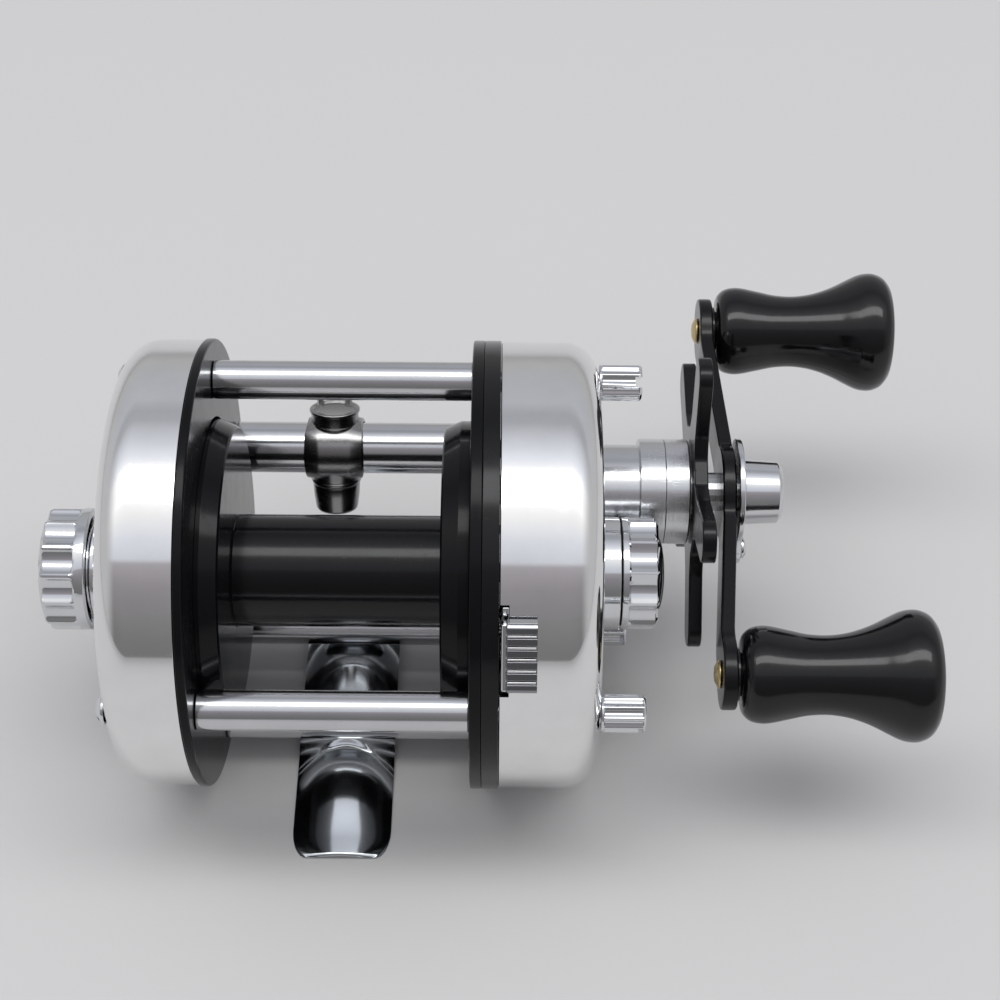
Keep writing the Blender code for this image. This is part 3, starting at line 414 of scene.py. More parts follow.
def piece(name, mesh, look, body, nodes, bevel=0.0, sharp=32, tools=(), segments=3):
    """A finished piece: cut, bevelled, smoothly shaded, and riding on its body."""
    obj = to_object(name, mesh, MATERIALS[look])
    if tools:
        cut(obj, *tools)
    if bevel:
        modifier = obj.modifiers.new("bevel", "BEVEL")
        modifier.width = bevel * MM
        modifier.segments = segments
        modifier.limit_method = "ANGLE"
        modifier.angle_limit = BEVEL_FROM
        settle(obj)
    obj.data.shade_smooth()
    obj.data.set_sharp_from_angle(angle=math.radians(sharp))
    weighted = obj.modifiers.new("normals", "WEIGHTED_NORMAL")
    weighted.keep_sharp = True
    settle(obj)
    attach(obj, body)
    if nodes:
        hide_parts(*nodes)
    return obj


# --- side plates and rings ---

WALL = 1.2
SHELL_CORNER = 5.0
RING_BORE = 22.8  # radius of the opening that the spool's flange runs in
RING_CORE = 20.0  # inner radius of a ring before its bore is cut, round the spool's own axis
RING_SEAT = 31.4  # radius of the step that the left plate's rim sits on
SHAFT_HOLE = 4.5


def ring_bore(low, high):
    return turned([(low.x - 1, 0), (low.x - 1, RING_BORE), (high.x + 1, RING_BORE),
                   (high.x + 1, 0)], SPOOL, 128)


def shell(node, face_side):
    low, high = span(node)
    face, rim = (low.x, high.x) if face_side < 0 else (high.x, low.x)
    outer = (high.y - low.y) / 2
    inner = outer - WALL
    inward = face - face_side * WALL
    profile = [(inward, 0), (inward, inner, SHELL_CORNER - WALL), (rim, inner, 0.15),
               (rim, outer, 0.25), (face, outer, SHELL_CORNER), (face, 0)]
    return turned(profile, PLATE, 192)


def button_frame():
    """Axes of the thumb button: across X, outwards, and along its travel."""
    travel = next(Vector(j["axis"]) for j in frame["joints"] if j["name"] == "button_travel")
    out = Vector((0, travel.z, -travel.y))
    centre = Vector((0, *PLATE))
    return Matrix(((1, 0, 0, 0), (0, out.y, travel.y, centre.y), (0, out.z, travel.z, centre.z),
                   (0, 0, 0, 1)))


def in_button_frame(mesh):
    mesh.transform(button_frame())
    return mesh


def build_plates():
    piece("left_side_plate_shell", shell("left_side_plate", -1), "plates", "frame",
          ["left_side_plate"])
    rim = span("right_side_plate")[0].x
    button_slot = in_button_frame(block((rim - 1, 29.5, -6.5), (rim + 1.35, 36.0, 6.9)))
    piece("right_side_plate_shell", shell("right_side_plate", 1), "plates", "frame",
          ["right_side_plate"], tools=[button_slot])

    low, high = span("left_frame_ring")
    outer = (high.y - low.y) / 2
    rim = span("left_side_plate")[1].x + 0.06
    piece("left_frame_ring_turned", turned([
        (low.x, RING_CORE), (low.x, RING_SEAT), (rim, RING_SEAT), (rim, outer, 0.15),
        (high.x, outer, 0.4), (high.x, RING_CORE)], PLATE, 192), "rings", "frame",
        ["left_frame_ring"], tools=[ring_bore(low, high)])
    low, high = span("right_frame_ring")
    gear_face = span("gear_side_plate")[0].x
    piece("right_frame_ring_disc", turned([
        (low.x, RING_CORE), (low.x, outer, 0.3), (gear_face - 0.02, outer, 0.15),
        (gear_face - 0.02, RING_CORE)], PLATE, 192), "rings", "frame", ["right_frame_ring"],
        tools=[ring_bore(low, high)])
    rim = span("right_side_plate")[0].x - 0.04
    piece("gear_side_plate_disc", turned([
        (gear_face, SHAFT_HOLE), (gear_face, outer, 0.15), (rim, outer, 0.12), (rim, SHAFT_HOLE)],
        PLATE, 192), "gear_plate", "frame", ["gear_side_plate"])


# --- pillars, tube, worm and line guide ---

PILLAR_PRESS = 0.27  # how far a pillar goes into the rings at each end
TUBE_RADIUS = 4.05
TUBE_BORE = 3.15
TUBE_SLOT = math.radians(27)  # half of the angle that the slot for the pawl takes
WORM_RADIUS = 2.6
WORM_JOURNAL = 1.5
WORM_PITCH = 7.5
GROOVE_DEPTH = 0.75
GUIDE_BORE = 4.3


def build_pillars():
    for node in ("top_pillar", "rear_pillar", "lower_front_pillar", "lower_rear_pillar"):
        low, high = span(node)
        r = (high.y - low.y) / 2
        piece(node + "_turned", turned([
            (low.x - PILLAR_PRESS, 0), (low.x - PILLAR_PRESS, r, 0.2),
            (high.x + PILLAR_PRESS, r, 0.2), (high.x + PILLAR_PRESS, 0)],
            axis_of(node), 96), "pillars", "frame", [node])


def guide_bore():
    """The tool that clears the guard tube out of the guide's collar and spigot."""
    ends = GUIDE.x - 9, GUIDE.x + 9
    return turned([(ends[0], 0), (ends[0], GUIDE_BORE), (ends[1], GUIDE_BORE), (ends[1], 0)],
                  TUBE, 64)


def build_level_wind():
    low, high = span("level_wind_tube")
    y0, z0 = TUBE
    start = -math.pi / 2 - LEAN + TUBE_SLOT
    turns = [start + (2 * math.pi - 2 * TUBE_SLOT) * i / 72 for i in range(73)]
    outline = [(y0 + TUBE_RADIUS * math.cos(t), z0 + TUBE_RADIUS * math.sin(t)) for t in turns]
    outline += [(y0 + TUBE_BORE * math.cos(t), z0 + TUBE_BORE * math.sin(t))
                for t in reversed(turns)]
    piece("level_wind_tube_slotted", slab(outline, (low.x, high.x)), "pillars", "frame",
          ["level_wind_tube"], bevel=0.12)

    low, high = span("level_wind_worm")
    start, end = low.x + 3.0, high.x - 8.3

    def groove(x, r, angle):
        """Two grooves of opposite hand that cross each other."""
        if not start + 0.8 < x < end - 0.8 or r < WORM_RADIUS - 0.2:
            return r
        deepest = 0.0
        for hand in (1, -1):
            away = ((x - start) / WORM_PITCH - hand * angle / (2 * math.pi)) % 1.0
            away = min(away, 1 - away) * WORM_PITCH
            deepest = max(deepest, min(1.0, max(0.0, (0.95 - away) / 0.35)))
        return r - GROOVE_DEPTH * deepest

    steps = 8
    stations = [start + (end - start) * i / (18 * steps) for i in range(18 * steps + 1)]
    profile = [(low.x, 0), (low.x, WORM_JOURNAL), (start - 0.1, WORM_JOURNAL),
               (start - 0.1, WORM_RADIUS)]
    profile += [(x, WORM_RADIUS, 0) for x in stations]
    profile += [(end + 0.1, WORM_RADIUS), (end + 0.1, WORM_JOURNAL), (high.x, WORM_JOURNAL),
                (high.x, 0)]
    piece("level_wind_worm_grooved", turned(profile, TUBE, 96, shape=groove), "steel", "worm",
          ["level_wind_worm"], sharp=50)

    # The guide's barrel is a sleeve along the tube that an upright oval outline cuts to shape.
    at = (GUIDE.x, *TUBE)
    sleeve = turned([
        (at[0] - 4.8, 4.2), (at[0] - 4.8, 4.55, 0.15), (at[0] - 4.4, 4.75, 0.4),
        (at[0] - 2.4, 5.25, 3.0), (at[0] + 2.4, 5.25, 3.0), (at[0] + 4.4, 4.75, 0.4),
        (at[0] + 4.8, 4.55, 0.15), (at[0] + 4.8, 4.2)], TUBE, 128)

    def oval(_, r, angle):
        """Three times as deep as it is wide, so that it only trims the sleeve's two ends."""
        return r / math.hypot(math.cos(angle) / 3, math.sin(angle))

    outside = upright(turned([
        (-7.0, 3.9), (-4.8, 4.2, 1.0), (-3.2, 4.7, 3.0), (0, 4.95, 6.0), (3.2, 4.7, 3.0),
        (4.8, 4.2, 1.0), (7.0, 3.9), (7.0, 9.0), (-7.0, 9.0)], (0, 0), 128, shape=oval), at, LEAN)
    piece("line_guide_sleeve", sleeve, "guide", "line_guide", ["line_guide"],
          sharp=60, tools=[outside])
    collar = upright(turned([
        (3.5, 0), (3.5, 3.2), (4.2, 4.0, 0.6), (4.6, 3.75, 0.2), (6.2, 3.7, 0.1), (6.3, 3.95, 0.12),
        (6.75, 3.98, 0.2), (6.8, 3.4, 0.12), (6.4, 3.1, 0.2), (6.35, 0)], (0, 0), 96), at, LEAN)
    piece("line_guide_collar", collar, "guide", "line_guide", [], tools=[guide_bore()])
    spigot = upright(turned([
        (-8.2, 1.8), (-8.2, 2.9, 0.1), (-5.65, 2.9), (-5.65, 3.85, 0.2), (-5.1, 4.0, 0.25),
        (-4.8, 3.8, 0.2), (-3.0, 4.3, 0.6), (-2.0, 4.3), (-2.0, 1.8)], (0, 0), 96), at, LEAN)
    piece("line_guide_spigot", spigot, "guide", "line_guide", [], tools=[guide_bore()])
    cap_slot = block((-4, -0.4, -11.0), (4, 0.4, -9.7))
    cap_slot.transform(Matrix.Translation(at) @ Matrix.Rotation(-LEAN, 4, "X"))
    piece("pawl_cap_turned", upright(turned([
        (-10.3, 0), (-10.3, 3.1, 0.35), (-9.9, 3.35, 0.3), (-7.6, 3.65, 0.5), (-5.7, 3.75, 0.15),
        (-5.7, 3.2), (-8.5, 3.2), (-8.5, 1.7), (-9.3, 1.7), (-9.3, 0)],
        (0, 0), 96), at, LEAN), "guide", "line_guide", ["pawl_cap"], tools=[cap_slot])


# --- foot ---

FOOT_TIP = 5.0  # length of the rounded end of a blade
FOOT_RIM = 0.45  # radius of the rim round the end of a blade
FOOT_DROOP = 1.2  # how far a blade's thin end bends down
FOOT_RISE = 1.6  # how far the saddle stands above the blades


def build_foot():
    low, high = span("reel_foot")
    middle_x = (low.x + high.x) / 2
    middle_y = (low.y + high.y) / 2
    half_length = (high.y - low.y) / 2
    half_width = (high.x - low.x) / 2

    def smooth(t):
        t = min(1.0, max(0.0, t))
        return t * t * (3 - 2 * t)

    def width(y):
        past = max(0.0, abs(y) - (half_length - FOOT_TIP)) / FOOT_TIP
        return half_width - 2.5 * (1 - math.sqrt(max(0.0, 1 - past * past)))

    def rise(y):
        return FOOT_RISE * smooth((12.0 + y) / 4.0 if y < 0 else (18.0 - y) / 5.0)

    def droop(y):
        return FOOT_DROOP * max(0.0, (abs(y) - 14.0) / (half_length - 14.0)) ** 1.4

    def top(q, y):
        """The blade is crowned across and scooped out, up to an arch-shaped edge near its root."""
        crown = low.z + rise(y) + 0.9 + 2.3 * (1 - q * q)
        edge = 9.9 + 4.1 * abs(q) ** 1.6 if y < 0 else 17.5 + 3.4 * q * q
        scoop = smooth((abs(y) - edge) / 1.1)
        thin = 0.55 * smooth((abs(y) - 19.0) / 8.0) + droop(y)
        return crown - scoop * (0.25 + thin * (1 - 0.55 * q * q))

    def bottom(q, y):
        return low.z + rise(y) + (1.6 - droop(y)) * max(0.0, 1 - (q / 0.72) ** 2)

    across = [math.sin(math.pi / 2 * (i / 24 - 1)) for i in range(49)]
    # Eight close stations round the rim, then even ones to the middle
    stations = [half_length - 0.3 * (1 - math.cos(math.pi * min(1, i / 8) / 2))
                - max(0, i - 8) * (half_length - 0.3) / 112 for i in range(121)]
    stations = [s for s in stations if s > 0.01] + [0.0]
    stations = stations + [-s for s in reversed(stations[:-1])]
    sections = []
    for y in stations:
        w = width(y)
        edge = 0.0
        end = half_length - abs(y)
        if end < FOOT_RIM:
            edge = FOOT_RIM - math.sqrt(max(0.0, FOOT_RIM ** 2 - (FOOT_RIM - end) ** 2))
        ring = [(middle_x + q * w, middle_y + y, max(top(q, y) - edge, bottom(q, y) + edge + 0.05))
                for q in across]
        ring += [(middle_x + q * w * 0.995, middle_y + y, bottom(q, y) + edge)
                 for q in reversed(across)]
        sections.append(ring)
    piece("reel_foot_blades", lofted(sections), "foot", "frame", ["reel_foot"],
          sharp=40)
    for side in ("front", "rear"):
        y = axis_of(f"lower_{side}_pillar")[0]
        at = (middle_x, y, bottom(0, y - middle_y) + 0.2)
        head = turned([(-0.9, 0), (-0.85, 1.0, 0.6), (-0.35, 1.7, 0.2), (0, 1.7), (0, 0)],
                      (0, 0), 48)
        piece(f"foot_rivet_{side}", upright(head, at), "chrome", "frame", [])


# --- caps and housings ---

def scalloped(flutes, radius, depth, start, end, land=0.2, run_out=0.5):
    """Radius of a grip with scooped flutes between two x stations, with flat lands between them."""
    def shape(x, r, angle):
        if not min(start, end) <= x <= max(start, end) or r < radius - 1.2:
            return r
        share = (angle * flutes / (2 * math.pi)) % 1.0
        if share < land / 2 or share > 1 - land / 2:
            return r
        across = (share - land / 2) / (1 - land)
        fade = min(1.0, (abs(x - start)) / run_out)
        return r - depth * fade * math.sin(math.pi * across) ** 0.72
    return shape


LEFT_CAP_RADIUS, LEFT_CAP_FLUTES = 9.05, 13
CAST_CAP_RADIUS, CAST_CAP_FLUTES = 8.35, 11
FLUTE_DEPTH = 1.0
INSERT_RADIUS = 5.6


def build_caps():
    low, high = span("left_bearing_housing")
    outer = (high.y - low.y) / 2
    face = span("left_side_plate")[0].x
    piece("left_bearing_housing_turned", turned([
        (high.x, 4.3), (high.x, 5.7), (face - 0.1, 5.7), (face - 0.1, outer, 0.3),
        (face - 1.6, outer, 0.3), (face - 1.9, outer - 0.5, 0.15), (face - 4.7, outer - 0.5, 0.3),
        (face - 4.7, 6.1), (low.x, 6.1, 0.2), (low.x, 4.3)], SPOOL, 128), "chrome_spool_axis",
        "frame", ["left_bearing_housing"])
    low, high = span("left_cap")
    r = LEFT_CAP_RADIUS
    stations = [high.x - 1.8 - 0.25 * i for i in range(5)]
    profile = [(low.x + 1.4, 0), (low.x + 1.4, 5.4), (low.x + 0.3, 5.7, 0.3), (low.x, 6.6, 0.2),
               (low.x, r - 1.7, 0.3), (low.x + 0.45, r - 0.25, 0.3), (low.x + 1.0, r, 0)]
    profile += [(x, r, 0) for x in reversed(stations)]
    profile += [(high.x - 1.5, r, 0), (high.x - 0.3, r, 0.15), (high.x, r - 0.4, 0.15),
                (high.x, 6.5), (low.x + 2.5, 6.5), (low.x + 2.5, 0)]
    piece("left_cap_fluted", turned(profile, SPOOL, LEFT_CAP_FLUTES * 24, shape=scalloped(
        LEFT_CAP_FLUTES, r, FLUTE_DEPTH, high.x - 1.75, low.x - 1, 0.14, 0.3)),
        "chrome_spool_axis", "left_cap", ["left_cap"], sharp=28)

    low, high = span("cast_control_housing")
    flange = span("right_side_plate")[1].x + 0.05
    piece("cast_control_housing_turned", turned([
        (low.x, 4.3), (low.x, 6.0), (flange, 6.0), (flange, 8.35, 0.15), (low.x + 4.55, 8.35, 0.15),
        (low.x + 4.55, 5.9), (high.x, 5.9, 0.2), (high.x, 4.3)], SPOOL, 128), "chrome_spool_axis",
        "frame", ["cast_control_housing"])
    low, high = span("cast_control_cap")
    r = CAST_CAP_RADIUS
    profile = [(high.x - 1.4, 0), (high.x - 1.4, 6.2), (low.x - 0.1, 6.2), (low.x - 0.1, r, 0.15),
               (low.x + 0.8, r, 0)]
    profile += [(low.x + 0.85 + 0.25 * i, r, 0) for i in range(4)]
    profile += [(high.x - 0.9, r, 0), (high.x - 0.4, r - 0.05, 0.2), (high.x, r - 0.7, 0.25),
                (high.x, 6.0, 0.2), (high.x - 0.5, 5.8), (high.x - 0.5, 0)]
    piece("cast_control_cap_fluted", turned(profile, SPOOL, CAST_CAP_FLUTES * 24, shape=scalloped(
        CAST_CAP_FLUTES, r, FLUTE_DEPTH, low.x + 0.8, high.x + 1, 0.12, 0.3)),
        "chrome_spool_axis", "cast_control", ["cast_control_cap"], sharp=28)
    low, high = span("cast_cap_insert")
    dome = [(high.x - 1.1 * (1 - math.cos(t)), INSERT_RADIUS * math.sin(t))
            for t in (math.pi / 2 * i / 12 for i in range(13))]
    piece("cast_cap_insert_domed", turned([(low.x, 0), (low.x, INSERT_RADIUS)] + [
        (x, r, 0) for x, r in reversed(dome[1:])] + [(high.x, 0)], SPOOL, 96), "plastic",
        "cast_control", ["cast_cap_insert"])
    low, high = span("cast_control_o_ring")
    mid = (low.x + high.x) / 2
    piece("cast_control_o_ring_round", turned([
        (mid + 0.2 * math.cos(t), 7.6 + 0.2 * math.sin(t), 0)
        for t in (2 * math.pi * i / 12 for i in range(12))], SPOOL, 96), "rubber", "cast_control",
        ["cast_control_o_ring"])
    for name in ("top", "rear"):
        node = "left_screw_" + name
        low, high = span(node)
        axis = axis_of(node)
        piece(node + "_slotted", turned([
            (low.x, 0), (low.x + 0.25, 1.3, 0.5), (low.x + 0.9, 2.15, 0.3), (low.x + 1.4, 2.3, 0.1),
            (low.x + 1.4, 1.2), (high.x, 1.2), (high.x, 0)], axis, 64), "chrome", "frame", [node],
            tools=[block((low.x - 1, axis[0] - 3, axis[1] - 0.3),
                                   (low.x + 0.75, axis[0] + 3, axis[1] + 0.3))])
    face = span("left_side_plate")[0].x
    axis = axis_of("lower_front_pillar")
    piece("left_screw_lower_slotted", turned([
        (face - 1.4, 0), (face - 1.15, 1.3, 0.5), (face - 0.5, 2.15, 0.3), (face, 2.3, 0.1),
        (face + 1.0, 2.3), (face + 1.0, 0)], axis, 64), "chrome", "frame", [],
        tools=[block((face - 2, axis[0] - 3, axis[1] - 0.3),
                     (face - 0.65, axis[0] + 3, axis[1] + 0.3))])


# --- spool ---

SHAFT_RADIUS = 1.5
SPOOL_BORE = 1.8
RECESS_LIP, RECESS_FLOOR = 20.6, 19.3  # radii of the recess in each of the spool's ends


def build_spool():
    low, high = span("spool")
    left, right = low.x, high.x
    flange = (high.y - low.y) / 2
    left_face, right_face = left + 5.65, right - 4.35
    left_web, right_web = left + 4.4, right - 4.4
    profile = [
        (left + 1.9, SPOOL_BORE), (left + 1.9, RECESS_FLOOR, 0.4), (left, RECESS_LIP, 0.3),
        (left, flange, 0.4),
        (left_face - 2.5, flange, 0.15), (left_face - 0.25, flange - 1.0, 0.12),
        (left_face, flange - 1.35, 0.12), (left_face, 8.5, 0.3), (left_face + 0.3, 8.15, 0.1),
        (right_face - 0.3, 8.15, 0.1), (right_face, 8.5, 0.3), (right_face, flange - 1.35, 0.12),
        (right_face + 0.25, flange - 1.0, 0.12), (right_face + 2.5, flange, 0.15),
        (right, flange, 0.4), (right, RECESS_LIP, 0.3), (right - 1.9, RECESS_FLOOR, 0.4),
        (right - 1.9, SPOOL_BORE), (right_web, SPOOL_BORE), (right_web, 6.9), (left_web, 6.9),
        (left_web, SPOOL_BORE)]
    piece("spool_turned", turned(profile, SPOOL, 192), "anodised", "spool", ["spool"])
    piece("spool_arbor_sleeve", turned([
        (left_face + 0.12, 8.0), (left_face + 0.12, 8.32, 0.1), (right_face - 0.12, 8.32, 0.1),
        (right_face - 0.12, 8.0)], SPOOL, 192), "arbor", "spool", [])
    low, high = span("spool_shaft")
    piece("spool_shaft_turned", turned([
        (low.x, 0), (low.x, SHAFT_RADIUS, 0.3), (high.x, SHAFT_RADIUS, 0.3), (high.x, 0)],
        SPOOL, 48), "steel", "spool", ["spool_shaft"])


# --- handle ---

def on_arm(along, across):
    """(y, z) from the handle's axis, along the arm and across it."""
    return (HANDLE[0] + along * math.cos(ARM_ANGLE) - across * math.sin(ARM_ANGLE),
            HANDLE[1] + along * math.sin(ARM_ANGLE) + across * math.cos(ARM_ANGLE))


ARM_THICKNESS = 2.1
ARM_EYE, ARM_HUB, ARM_WAIST = 5.2, 7.0, 4.0  # radii of its ends and middle, and half its waist
STAR_ARMS = 5
STAR_FIRST_ARM = 9  # degrees from +Y
STAR_TIP, STAR_HALF_WIDTH, STAR_CORNER = 24.0, 3.2, 2.8
LOCK_PLATE_RADIUS, LOCK_PLATE_EAR = 8.3, 2.4


def build_arm():
    low, high = span("handle_arm")
    reach = math.hypot(FRONT_KNOB[0] - HANDLE[0], FRONT_KNOB[1] - HANDLE[1])
    crank = high.x - low.x - ARM_THICKNESS

    def half_width(along):
        a = abs(along)
        hub = math.sqrt(max(0.0, ARM_HUB ** 2 - a * a))
        eye = math.sqrt(max(0.0, ARM_EYE ** 2 - (a - reach) ** 2))
        bar = ARM_WAIST - 0.1 * (a / reach) if a < reach else 0.0
        soft = [v for v in (hub, eye, bar) if v > 0]
        return (sum(v ** 9 for v in soft)) ** (1 / 9) if soft else 0.02

    def offset(along):
        t = min(1.0, max(0.0, (abs(along) - 7.0) / 20.0))
        return -crank * t

    count = 160
    tip = reach + ARM_EYE
    stations = [tip * math.sin(math.pi / 2 * (2 * i / count - 1)) for i in range(count + 1)]
    sections = []
    for along in stations:
        w = max(0.05, half_width(along))
        x0 = high.x - ARM_THICKNESS + offset(along)
        x1 = x0 + ARM_THICKNESS
        corner = min(0.4, w * 0.8)
        outline = rounded([(x0, -w), (x1, -w), (x1, w), (x0, w)], corner, 4, True)
        sections.append([(x, *on_arm(along, across)) for x, across in outline])
    piece("handle_arm_cranked", lofted(sections), "paint", "handle", ["handle_arm"],
          sharp=60)


def build_star():
    low, high = span("star_drag_wheel")
    y0, z0 = HANDLE
    outline = []
    for arm in range(STAR_ARMS):
        middle = math.radians(STAR_FIRST_ARM + 360 / STAR_ARMS * arm)
        local = [(9.4, -4.3, 1.5), (12.6, -STAR_HALF_WIDTH, 3.0),
                 (STAR_TIP, -STAR_HALF_WIDTH, STAR_CORNER),
                 (STAR_TIP, STAR_HALF_WIDTH, STAR_CORNER),
                 (12.6, STAR_HALF_WIDTH, 3.0), (9.4, 4.3, 1.5)]
        for along, across, radius in local:
            outline.append((y0 + along * math.cos(middle) - across * math.sin(middle),
                            z0 + along * math.sin(middle) + across * math.cos(middle), radius))
    outline = rounded(outline, 0.5, 6, True)
    piece("star_drag_wheel_bevelled", slab(outline, (low.x, high.x)), "paint", "star_drag",
          ["star_drag_wheel"], bevel=0.3, segments=4)

    low, high = span("handle_bearing_housing")
    face = span("right_side_plate")[1].x + 0.05
    # The flange is cut back where the cast control's own housing stands beside it
    clearance = turned([(face - 0.4, 0), (face - 0.4, 8.6), (face + 1.8, 8.6), (face + 1.8, 0)],
                       SPOOL, 96)
    piece("handle_bearing_housing_turned", turned([
        (low.x, 5.3), (low.x, 6.2), (face, 6.2), (face, 9.95, 0.25), (face + 0.7, 9.95, 0.3),
        (face + 1.1, 9.2, 0.2), (face + 1.2, 7.15, 0.15), (high.x - 3.9, 7.15, 0.1),
        (high.x - 3.9, 8.1, 0.2), (high.x, 8.1, 0.08), (high.x, 5.3)], HANDLE, 128), "hub", "frame",
        ["handle_bearing_housing"], tools=[clearance])
    seat = high.x + 0.04
    low, high = span("star_hub")
    shoulder = high.x - 2.7
    piece("star_hub_turned", turned([
        (low.x, 3.3), (low.x, 5.0), (seat, 5.0), (seat, 8.1, 0.08),
        (shoulder, 8.1, 0.25), (shoulder, 5.0), (high.x, 5.0, 0.2), (high.x, 3.3)], HANDLE, 128),
        "hub", "star_drag", ["star_hub"])


def build_nut():
    low, high = span("nut_lock_plate")
    screw = axis_of("lock_plate_screw")
    away = math.atan2(screw[1] - HANDLE[1], screw[0] - HANDLE[0])
    reach = math.hypot(screw[1] - HANDLE[1], screw[0] - HANDLE[0])
    outline = []
    for degrees in range(24, 337, 6):
        a = away + math.radians(degrees)
        outline.append((HANDLE[0] + LOCK_PLATE_RADIUS * math.cos(a),
                        HANDLE[1] + LOCK_PLATE_RADIUS * math.sin(a), 0))
    for degrees in range(-66, 67, 12):
        a = math.radians(degrees)
        local = (reach + LOCK_PLATE_EAR * math.cos(a), LOCK_PLATE_EAR * math.sin(a))
        outline.append((HANDLE[0] + local[0] * math.cos(away) - local[1] * math.sin(away),
                        HANDLE[1] + local[0] * math.sin(away) + local[1] * math.cos(away), 0))
    piece("nut_lock_plate_pressed", slab(rounded(outline, 0, 3, True), (low.x, high.x)),
          "chrome_handle_axis", "handle", ["nut_lock_plate"], bevel=0.22)
    low, high = span("lock_plate_screw")
    piece("lock_plate_screw_slotted", turned([
        (low.x, 0), (low.x, 0.8), (low.x + 1.1, 0.8), (low.x + 1.1, 1.75, 0.15),
        (low.x + 1.6, 1.65, 0.3), (high.x, 0.6, 0.4), (high.x, 0)], screw, 48),
        "chrome_handle_axis", "handle", ["lock_plate_screw"],
        tools=[block((high.x - 0.4, screw[0] - 3, screw[1] - 0.22),
                     (high.x + 1, screw[0] + 3, screw[1] + 0.22))])
    low, high = span("handle_nut")
    piece("handle_nut_domed", turned([
        (high.x - 0.8, 0), (high.x - 0.8, 3.3), (low.x, 3.3), (low.x, 5.0, 0.15),
        (low.x + 0.6, 5.0, 0.2), (high.x - 0.7, 4.75, 0.4), (high.x, 4.0, 0.3), (high.x, 0)],
        HANDLE, 128), "chrome_handle_axis", "handle", ["handle_nut"])


# A knob's outline: the distance from its inner end and the radius there
KNOB_OUTLINE = [(0.0, 4.6), (0.25, 5.7), (1.2, 6.65), (2.6, 7.05), (4.2, 7.02), (7.0, 6.45),
                (9.6, 5.92), (12.3, 5.75), (14.8, 6.0), (17.0, 6.55), (19.2, 7.4), (21.3, 8.45),
                (23.0, 9.25), (24.4, 9.58), (25.6, 9.55), (26.8, 9.1), (27.6, 8.35), (28.1, 7.4)]
KNOB_END_RADIUS = 5.4


def build_knobs():
    for name, axis in (("front", FRONT_KNOB), ("rear", REAR_KNOB)):
        low, high = span("knob_" + name)
        start, length = low.x, high.x - low.x
        outer = smooth_curve(KNOB_OUTLINE + [(length - 0.12, KNOB_END_RADIUS)], 5)
        profile = [(high.x - 3.8, 0), (high.x - 3.8, 1.9), (start, 1.9)]
        profile += [(start + x, r, 0) for x, r in outer] + [(high.x, 2.0, 0.3), (high.x, 0)]

        def seam(_, r, angle):
            """The line where the two halves of the mould met, on both sides."""
            if r < 3:
                return r
            off = abs(math.sin(angle - 0.35)) * r
            return r + 0.035 * max(0.0, 1 - off / 0.16)

        piece(f"knob_{name}_moulded", turned(profile, axis, 256, shape=seam), "plastic",
              name + "_knob", ["knob_" + name], sharp=50)
        low, high = span("knob_spindle_" + name)
        piece(f"knob_spindle_{name}_riveted", turned([
            (low.x, 0), (low.x + 0.12, 1.1, 0.4), (low.x + 0.55, 1.95, 0.4),
            (low.x + 0.9, 2.2, 0.1), (low.x + 0.9, 1.6), (high.x, 1.6, 0.2), (high.x, 0)],
            axis, 64), "brass", "handle", ["knob_spindle_" + name])
        arm_face = low.x + 3.1
        piece(f"knob_washer_{name}", turned([
            (arm_face, 1.65), (arm_face, 3.9, 0.1), (arm_face + 0.5, 3.9, 0.1),
            (arm_face + 0.5, 3.2, 0.05), (start - 0.02, 3.2, 0.05), (start - 0.02, 1.65)],
            axis, 64), "plastic", "handle", [])


def smooth_curve(points, steps):
    """A Catmull-Rom curve through the points."""
    made = []
    for i in range(len(points) - 1):
        a = Vector(points[max(i - 1, 0)])
        b, c = Vector(points[i]), Vector(points[i + 1])
        d = Vector(points[min(i + 2, len(points) - 1)])
        for k in range(steps):
            t = k / steps
            made.append(tuple(0.5 * ((2 * b) + (c - a) * t + (2 * a - 5 * b + 4 * c - d) * t ** 2
                                     + (3 * b - a - 3 * c + d) * t ** 3)))
    return made + [tuple(points[-1])]


# --- thumb button and thumbscrews ---

# The button's head, in its own frame: how far out it lies, half its length, and its ribs
BUTTON_OUT = (33.4, 35.6)
BUTTON_HALF = 5.0
BUTTON_RIBS = 5
# How far each thumbscrew's slot has been turned from upright, in degrees
THUMBSCREW_TURNS = (("top", -47), ("rear", 30), ("lower", -10))
THUMBSCREW_RADIUS = 2.65
KNURLS = 10


